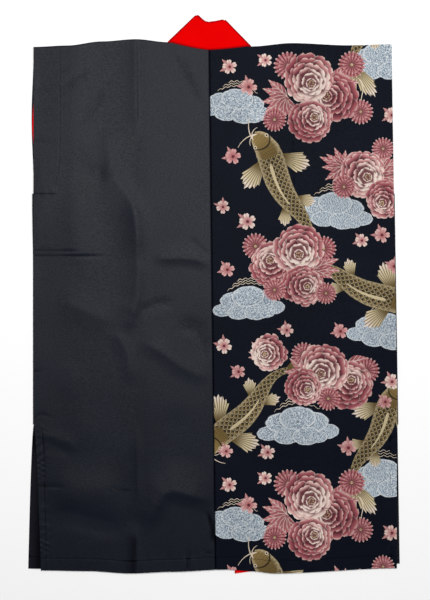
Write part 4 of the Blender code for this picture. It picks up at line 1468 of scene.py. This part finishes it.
class Dye:
    """One material of the coat, with short ways to write its nodes."""

    def __init__(self, name):
        self.material = bpy.data.materials.new(name)
        self.material.use_nodes = True
        self.nodes = self.material.node_tree.nodes
        self.links = self.material.node_tree.links
        self.shader = self.nodes["Principled BSDF"]

    def feed(self, socket, value):
        if isinstance(value, Value):
            self.links.new(value.socket, socket)
        elif isinstance(value, (tuple, list)) and socket.type == "RGBA":
            socket.default_value = (*value, 1)
        else:
            socket.default_value = value

    def set(self, name, value):
        self.feed(self.shader.inputs[name], value)

    def node(self, kind, output, inputs=(), **settings):
        """One output of a new node, which is fed with rows of (input, value)."""
        node = self.nodes.new("ShaderNode" + kind)
        for name, value in settings.items():
            setattr(node, name, value)
        for place, value in inputs:
            self.feed(node.inputs[place], value)
        return Value(self, node.outputs[output])

    def sum(self, operation, *values, clamp=False):
        return self.node("Math", 0, enumerate(values), operation=operation, use_clamp=clamp)

    def step(self, value, start, end, low=0.0, high=1.0):
        inputs = enumerate((value, start, end, low, high))
        return self.node("MapRange", 0, inputs, interpolation_type="SMOOTHSTEP")

    def blend(self, share, first, second):
        return self.node("Mix", 2, ((0, share), (6, first), (7, second)), data_type="RGBA")

    def attribute(self, name, output="Vector"):
        return self.node("Attribute", output, attribute_name=name)

    # The painted shade that each point of the cloth carries, 0 to 1
    def painted_shade(self):
        return self.attribute("painted_shade", "Fac")

    def split(self, vector):
        node = self.nodes.new("ShaderNodeSeparateXYZ")
        self.feed(node.inputs[0], vector)
        return [Value(self, socket) for socket in node.outputs]

    def length(self, x, y, weight=1.0):
        """How long (x, y) is, where y counts for more or less."""
        y_squared = y * y
        if weight != 1.0:
            y_squared = y_squared * weight
        return self.sum("SQRT", x * x + y_squared)

    def place(self, stretch=(1, 1, 1)):
        found = self.node("TexCoord", "Object")
        return self.node("Mapping", 0, (("Vector", found), ("Scale", stretch)))

    def noise(self, scale, detail=2.0, stretch=(1, 1, 1)):
        inputs = (("Scale", scale), ("Detail", detail), ("Vector", self.place(stretch)))
        return self.node("TexNoise", "Fac", inputs)

    def bump(self, *layers):
        """Layers are (height, strength, distance in metres), one over another."""
        below = ()
        for height, strength, distance in layers:
            inputs = (("Strength", strength), ("Distance", distance), ("Height", height), *below)
            below = (("Normal", self.node("Bump", 0, inputs)),)
        self.set("Normal", below[0][1])

    def satin(self, colour, finish):
        """A fine rib across the cloth, a slight unevenness, a soft sheen, and painted shade in the
        seams, creases and hollows.
        """
        # Painted shade darkens the colour and dims the specular
        open_to_light = self.step(self.painted_shade(), 0.0, 1.0, 1.0, 0.06)
        grain = self.noise(640, 2.0, (0.5, 1.4, 1))
        shade = self.step(self.noise(9, 3.0), 0.35, 0.65, 0.0, 0.14)
        shade = shade + self.step(grain, 0.3, 0.7, 0.0, 0.14)
        shade = self.sum("MAXIMUM", shade, 1.0 - open_to_light)
        self.set("Base Color", self.blend(shade, colour, (0, 0, 0)))
        self.set("Roughness", finish.roughness)
        self.set("Sheen Weight", finish.sheen)
        self.set("Sheen Roughness", 0.4)
        gleam = self.step(grain, 0.3, 0.7, finish.specular * 1.3, finish.specular * 0.7)
        self.set("Specular IOR Level", gleam * open_to_light)
        rib = self.noise(520, 1.0, (0.22, 1.6, 1))
        slub = self.noise(60, 3.0, (0.5, 1.4, 1))
        self.bump((slub, 0.12, 0.0006), (rib, 0.16, 0.0003))

    def plain_weave(self, colour, finish):
        """Matt cloth with threads over and under each other, and painted shade along the collar's
        folded edges.
        """
        colour = self.blend(self.step(self.noise(14, 3.0), 0.3, 0.7, 0.0, 0.10), colour, WORN_RED)
        # Painted shade towards a darker red along the edges
        self.set("Base Color", self.blend(self.painted_shade(), colour, SHADED_RED))
        self.set("Roughness", finish.roughness)
        self.set("Sheen Weight", finish.sheen)
        self.set("Specular IOR Level", finish.specular)
        warp, weft, _ = self.split(self.place())
        warp, weft = [self.sum("SINE", way * (2 * math.pi / THREAD)) for way in (warp, weft)]
        slub = self.noise(180, 3.0, (0.4, 1.5, 1))
        self.bump((warp * weft, 0.35, 0.0002), (slub, 0.2, 0.0004))

    def overlapping(self, u, v):
        """Rows of overlapping round scales: 0 in each one's middle and 1 at its rim."""
        odd = self.sum("MODULO", abs(self.sum("FLOOR", v)), 2.0)
        fx = self.sum("FRACT", u + odd * 0.5) - 0.5
        fy = self.sum("FRACT", v)
        near = self.length(fx, fy, 0.25)
        far = self.length(0.5 - abs(fx), (fy + 1.0) * 0.5)
        inside = self.sum("LESS_THAN", near, 0.5)
        return (near * inside + far * (1.0 - inside)) * 2.0


class PrintDye(Dye):
    """The printed satin, in the colours of one kind of motif.

    Along, aside and tone are the motif's own coordinates, as shares of its size, and
    run_along and run_aside are the same in millimetres.
    """

    def __init__(self, kind, tint):
        super().__init__("print " + kind.replace("_", " "))
        self.tint = tint
        if kind in ("ground", "reverse"):
            self.satin(tint[kind], FINISHES[kind])
            return
        self.along, self.aside, self.tone = self.split(self.attribute("motif"))
        self.run_along, self.run_aside, _ = self.split(self.attribute("run"))
        self.satin(getattr(self, kind)(), FINISHES["print"])

    def between(self, share, first, second):
        return self.blend(share, self.tint[first], self.tint[second])

    def over(self, colour, name, value, start, end, most=1.0):
        """The colour under a wash that grows while the value goes from start to end."""
        return self.blend(self.step(value, start, end, 0.0, most), colour, self.tint[name])

    def petal(self):
        t, tone = self.along, self.tone
        curve = self.nodes.new("ShaderNodeFloatCurve")
        line = curve.mapping.curves[0]
        for x, y in ((0.22, 0.50), (0.45, 0.86), (0.68, 0.99), (0.86, 0.90), (0.97, 0.62)):
            line.points.new(x, y)
        line.points[0].location = (0.0, 0.1)
        line.points[-1].location = (1.0, 0.3)
        self.feed(curve.inputs["Value"], t)
        breadth = Value(self, curve.outputs[0])
        across = self.sum("DIVIDE", abs(self.aside), breadth)
        rim = self.sum("MAXIMUM", self.step(across, 0.80, 0.98), self.step(t, 0.88, 0.99))
        deep = self.between(self.step(tone, 0.15, 1.0), "rose_dark", "rose")
        full = self.between(self.step(tone, 0.05, 0.55), "rose", "pink")
        full = self.over(full, "cream", tone, 0.38, 0.85)
        lift = self.step(across, 1.15, 0.25) * self.step(tone, 0.0, 1.0, 0.0, 0.25)
        light = self.sum("ADD", self.step(t, 0.62, 0.97), lift, clamp=True)
        colour = self.blend(light, deep, full)
        veins = self.step(self.sum("SINE", self.aside * 15.0), 0.5, 1.0)
        veins = veins * self.step(t, 0.98, 0.5, 0.0, 0.30)
        colour = self.blend(veins, colour, self.tint["rose_dark"])
        rim = rim * self.step(tone, 0.0, 0.6, 0.45, 1.0)
        colour = self.blend(rim, colour, self.tint["cream"])
        line = self.sum("MAXIMUM", self.step(across, 0.965, 0.99), self.step(t, 0.985, 0.999))
        colour = self.blend(line * 0.35, colour, self.tint["wine"])
        return self.over(colour, "wine", t, 0.90, 0.66, 0.75)

    def round(self, petals):
        """For round flowers: distance from a petal's rib and from the flower's heart."""
        angle = self.sum("ARCTAN2", self.aside, self.along) * (petals / (2 * math.pi))
        return abs(self.sum("FRACT", angle) - 0.5), self.length(self.along, self.aside)

    def rosette(self, petals=19.0):
        from_rib, reach = self.round(petals)
        colour = self.between(self.tone * 0.45, "rose", "pink")
        shaded = self.step(reach, 0.15, 0.98, 0.85, 0.0)
        colour = self.blend(shaded, colour, self.tint["rose_dark"])
        colour = self.over(colour, "cream", reach, 0.90, 0.99, 0.45)
        colour = self.over(colour, "cream", from_rib, 0.09, 0.03, 0.28)
        return self.over(colour, "wine", from_rib, 0.30, 0.46, 0.85)

    def rosette_heart(self):
        return self.rosette(15.0)

    def little(self):
        from_rib, reach = self.round(5)
        heart = self.between(self.tone, "rose", "pink")
        tips = self.between(self.tone, "pink", "cream")
        colour = self.blend(self.step(reach, 0.25, 0.85), heart, tips)
        colour = self.over(colour, "rose_dark", from_rib, 0.05, 0.0, 0.5)
        return self.over(colour, "wine", reach, 0.24, 0.14, 0.9)

    def leaf(self):
        away = abs(self.aside)
        colour = self.between(self.step(self.along, 0.0, 0.9), "rose_dark", "rose")
        colour = self.blend(self.tone * 0.35, colour, self.tint["pink"])
        ribs = self.sum("SINE", self.along * 30.0 - away * 9.0)
        colour = self.over(colour, "cream", ribs, 0.55, 1.0, 0.5)
        colour = self.over(colour, "cream", away, 0.11, 0.05, 0.6)
        return self.over(colour, "wine", away, 0.04, 0.0, 0.5)

    def cloud(self):
        scales = self.overlapping(self.run_along * (1 / 7.5), self.run_aside * (1 / 3.75))
        rings = self.sum("SINE", scales * 16.0)
        colour = self.between(self.step(rings, -0.2, 0.7), "sky_dark", "sky")
        speck = self.noise(560)
        colour = self.over(colour, "white", speck, 0.52, 0.60, 0.85)
        colour = self.over(colour, "sky_deep", speck, 0.46, 0.39, 0.7)
        reach = self.length(self.along, self.aside, 2.6)
        colour = self.over(colour, "white", reach, 0.82, 0.93, 0.55)
        return self.over(colour, "sky_deep", reach, 0.965, 0.99, 0.9)

    def scales(self):
        scales = self.overlapping(self.run_aside * (1 / 9.5), self.run_along * (-1 / 5.4))
        away = abs(self.aside)
        colour = self.between(self.step(away, 0.1, 0.7), "bronze_dark", "bronze")
        colour = self.over(colour, "gold", scales, 0.15, 0.75, 0.5)
        colour = self.over(colour, "sand", scales, 0.62, 0.78, 0.6)
        colour = self.over(colour, "ink", scales, 0.82, 0.93, 0.95)
        colour = self.over(colour, "sand", away, 0.66, 0.92, 0.3)
        return self.over(colour, "bronze_dark", away, 0.95, 1.0, 0.8)

    def head(self):
        colour = self.between(self.step(self.along, 0.0, 0.2), "gold", "bronze")
        colour = self.over(colour, "sand", abs(self.aside), 0.55, 1.0, 0.6)
        gill = abs(self.along - 0.135 - self.aside * self.aside * -0.05)
        colour = self.over(colour, "ink", gill, 0.009, 0.003, 0.9)
        lines = self.sum("SINE", self.along * 260.0)
        return self.over(colour, "bronze_dark", lines, 0.6, 1.0, 0.35)

    def fin(self):
        rays = self.sum("SINE", self.sum("ARCTAN2", self.aside, self.along + 0.12) * 46.0)
        colour = self.between(self.step(self.along, 0.05, 0.6), "bronze", "sand")
        colour = self.over(colour, "cream", self.along, 0.55, 1.0)
        return self.over(colour, "bronze_dark", rays, 0.1, 0.8, 0.75)

    def gold(self):
        return self.between(self.noise(260), "gold", "sand")

    def tendril(self):
        return self.between(self.noise(260), "cream", "sand")

    def ink(self):
        return self.tint["ink"]


def srgb(red, green, blue):
    """A colour as a screen shows it, 0 to 255, as Blender's linear light."""
    values = []
    for part in (red, green, blue):
        part /= 255
        values.append(part / 12.92 if part <= 0.04045 else ((part + 0.055) / 1.055) ** 2.4)
    return tuple(values)


def colour_property(name, description, shown):
    return bpy.props.FloatVectorProperty(
        name=name, description=description, subtype="COLOR", min=0, max=1, default=srgb(*shown)
    )


def length_property(name, description, millimetres):
    return bpy.props.FloatProperty(
        name=name, description=description, default=millimetres * MM, min=0,
        unit="LENGTH", subtype="DISTANCE",
    )


class CoatSizes(bpy.types.PropertyGroup):
    body_length: length_property("Body length", "Shoulder line to hem", 942)
    armhole_depth: length_property("Armhole depth", "Shoulder to the top of the side seam", 268)
    slit_length: length_property("Slit length", "Side slit, up from the hem", 262)
    neck_half_width: length_property("Neck half width", "Centre back to the neck corner", 73)
    collar_width: length_property("Collar width", "Finished width of the collar", 50)
    facing_width: length_property("Facing width", "Strip inside the left armhole", 50)
    hem_turn: length_property("Hem turn", "Width of the turned hem", 22)
    slit_turn: length_property("Slit turn", "Width of the turned slit edge", 10)


class CoatColours(bpy.types.PropertyGroup):
    satin: colour_property("Plain satin", "Left half", (20, 24, 34))
    ground: colour_property("Printed ground", "Right half behind the print", (13, 17, 28))
    reverse: colour_property("Reverse", "Inside of the satin", (26, 26, 34))
    red: colour_property("Collar red", "Collar and armhole facing", (229, 0, 1))
    thread: colour_property("Thread", "Stitching on the satin", (16, 17, 21))
    wine: colour_property("Wine", "Hearts and veins of the flowers", (80, 32, 42))
    rose_dark: colour_property("Dark rose", "Shaded petals", (112, 50, 58))
    rose: colour_property("Rose", "Petals and leaves", (166, 90, 97))
    pink: colour_property("Pink", "Light petals", (202, 138, 139))
    cream: colour_property("Cream", "Petal rims and barbels", (236, 218, 206))
    sky: colour_property("Sky", "Clouds", (176, 188, 198))
    sky_dark: colour_property("Dark sky", "Rings in the clouds", (142, 158, 173))
    sky_deep: colour_property("Deep sky", "Flecks in the clouds", (66, 79, 98))
    white: colour_property("White", "Rims of the clouds", (222, 226, 226))
    bronze: colour_property("Bronze", "Flanks of the carp", (108, 89, 52))
    bronze_dark: colour_property("Dark bronze", "Backs of the carp", (64, 52, 28))
    gold: colour_property("Gold", "Scales and stamens", (140, 117, 72))
    sand: colour_property("Sand", "Light edges of the carp", (204, 188, 152))
    ink: colour_property("Ink", "Drawn lines", (20, 20, 24))


def tints():
    colours = bpy.context.scene.coat_colours
    return {name: tuple(getattr(colours, name)) for name in CoatColours.__annotations__}


class COAT_OT_plain_half(bpy.types.Operator):
    """Make the plain satin half with its folds"""

    bl_idname = "coat.plain_half"
    bl_label = "Plain half"

    def execute(self, context):
        cut, tint = Cut(context.scene.coat_sizes), tints()
        satin, reverse = Dye("plain satin"), Dye("plain satin reverse")
        satin.satin(tint["satin"], FINISHES["satin"])
        reverse.satin(tint["reverse"], FINISHES["reverse"])
        dyed = [satin.material, reverse.material]
        item = plain_cloth(cut).build("plain_half", dyed, "plain_satin")
        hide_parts("body_left")
        return {"FINISHED"}


class COAT_OT_printed_half(bpy.types.Operator):
    """Make the printed satin half with its blossoms, clouds and carp"""

    bl_idname = "coat.printed_half"
    bl_label = "Printed half"

    def execute(self, context):
        cut, tint = Cut(context.scene.coat_sizes), tints()
        dyed = [PrintDye(kind, tint).material for kind in KINDS]
        item = printed_cloth(cut).build("printed_half", dyed, "printed_satin")
        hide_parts("body_right")
        return {"FINISHED"}


class COAT_OT_red_cloth(bpy.types.Operator):
    """Make the red collar and the facing inside the left armhole"""

    bl_idname = "coat.red_cloth"
    bl_label = "Collar and facing"

    def execute(self, context):
        cut, tint = Cut(context.scene.coat_sizes), tints()
        red = Dye("red plain weave")
        red.plain_weave(tint["red"], FINISHES["red"])
        both = [red.material, red.material]
        collar = collar_cloth(cut).build("neck_collar", both, "red_cloth")
        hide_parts("collar")
        facing = facing_cloth(cut).build("red_facing", both, "red_cloth")
        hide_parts("armhole_facing")
        return {"FINISHED"}


class COAT_OT_stitching(bpy.types.Operator):
    """Sew the hem, the slits and the armhole facing"""

    bl_idname = "coat.stitching"
    bl_label = "Stitching"

    def execute(self, context):
        cut, tint = Cut(context.scene.coat_sizes), tints()
        for side, name, slot in ((LEFT, "plain_thread", "plain_satin"),
                                 (RIGHT, "printed_thread", "printed_satin")):
            points, faces = stitches(cut, side)
            mesh = bpy.data.meshes.new(name)
            mesh.from_pydata([tuple(p) for p in points], [], faces)
            thread = Dye(name.replace("_", " "))
            thread.set("Roughness", THREAD_ROUGHNESS)
            thread.set("Specular IOR Level", THREAD_SPECULAR)
            twist = thread.noise(1500, 1.0)
            thread.set("Base Color", thread.blend(twist, tint["thread"], tint["ground"]))
            mesh.materials.append(thread.material)
            mesh.shade_smooth()
            item = bpy.data.objects.new(name, mesh)
            context.collection.objects.link(item)
            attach(item, BODY)
        return {"FINISHED"}


class COAT_OT_stage(bpy.types.Operator):
    """Lay the floor, set the lights and place the camera straight above"""

    bl_idname = "coat.stage"
    bl_label = "Stage"

    def execute(self, context):
        mesh = bpy.data.meshes.new("floor")
        corners = [(x * FLOOR_REACH, y * FLOOR_REACH, 0)
                   for x, y in ((-1, -1), (1, -1), (1, 1), (-1, 1))]
        mesh.from_pydata(corners, [], [(0, 1, 2, 3)])
        floor = bpy.data.objects.new("floor", mesh)
        context.collection.objects.link(floor)
        paper = Dye("floor")
        paper.set("Base Color", PAPER)
        paper.set("Roughness", PAPER_ROUGHNESS)
        mesh.materials.append(paper.material)
        floor.location.z = -FLOOR_DROP

        world = bpy.data.worlds.new("studio")
        world.use_nodes = True
        background = world.node_tree.nodes["Background"]
        background.inputs["Color"].default_value = (1.0, 1.0, 1.0, 1)
        background.inputs["Strength"].default_value = WORLD_LIGHT
        context.scene.world = world

        # A wide soft light overhead, nearer to the collar than to the hem
        lamp = bpy.data.lights.new("softbox", "AREA")
        lamp.shape = "RECTANGLE"
        lamp.size, lamp.size_y = SOFTBOX_SIZE
        lamp.energy = SOFTBOX_POWER
        item = bpy.data.objects.new("softbox", lamp)
        item.location = SOFTBOX_PLACE
        context.collection.objects.link(item)

        camera = bpy.data.cameras.new("camera")
        camera.sensor_fit = "VERTICAL"
        camera.sensor_height = SENSOR
        camera.lens = SENSOR * CAMERA_HEIGHT / VIEW_HEIGHT
        item = bpy.data.objects.new("camera", camera)
        item.location = (*VIEW_MIDDLE, CAMERA_HEIGHT)
        context.collection.objects.link(item)
        context.scene.camera = item
        context.scene.view_settings.view_transform = "Standard"
        return {"FINISHED"}


STEPS = (COAT_OT_plain_half, COAT_OT_printed_half, COAT_OT_red_cloth, COAT_OT_stitching,
         COAT_OT_stage)


class COAT_PT_panel(bpy.types.Panel):
    """Sizes, colours and the steps that make the coat"""

    bl_idname = "COAT_PT_panel"
    bl_label = "Dance Coat"
    bl_space_type = "VIEW_3D"
    bl_region_type = "UI"
    bl_category = "Dance Coat"

    def draw(self, context):
        for group in (context.scene.coat_sizes, context.scene.coat_colours):
            column = self.layout.column(align=True)
            for name in type(group).__annotations__:
                column.prop(group, name)
        for step in STEPS:
            self.layout.operator(step.bl_idname)


CLASSES = (CoatSizes, CoatColours, *STEPS, COAT_PT_panel)


def register():
    for each in CLASSES:
        bpy.utils.register_class(each)
    bpy.types.Scene.coat_sizes = bpy.props.PointerProperty(type=CoatSizes)
    bpy.types.Scene.coat_colours = bpy.props.PointerProperty(type=CoatColours)


def unregister():
    del bpy.types.Scene.coat_sizes
    del bpy.types.Scene.coat_colours
    for each in reversed(CLASSES):
        bpy.utils.unregister_class(each)


def main():
    register()
    bpy.ops.coat.plain_half()
    bpy.ops.coat.printed_half()
    bpy.ops.coat.red_cloth()
    bpy.ops.coat.stitching()
    bpy.ops.coat.stage()


if __name__ == "__main__":
    main()
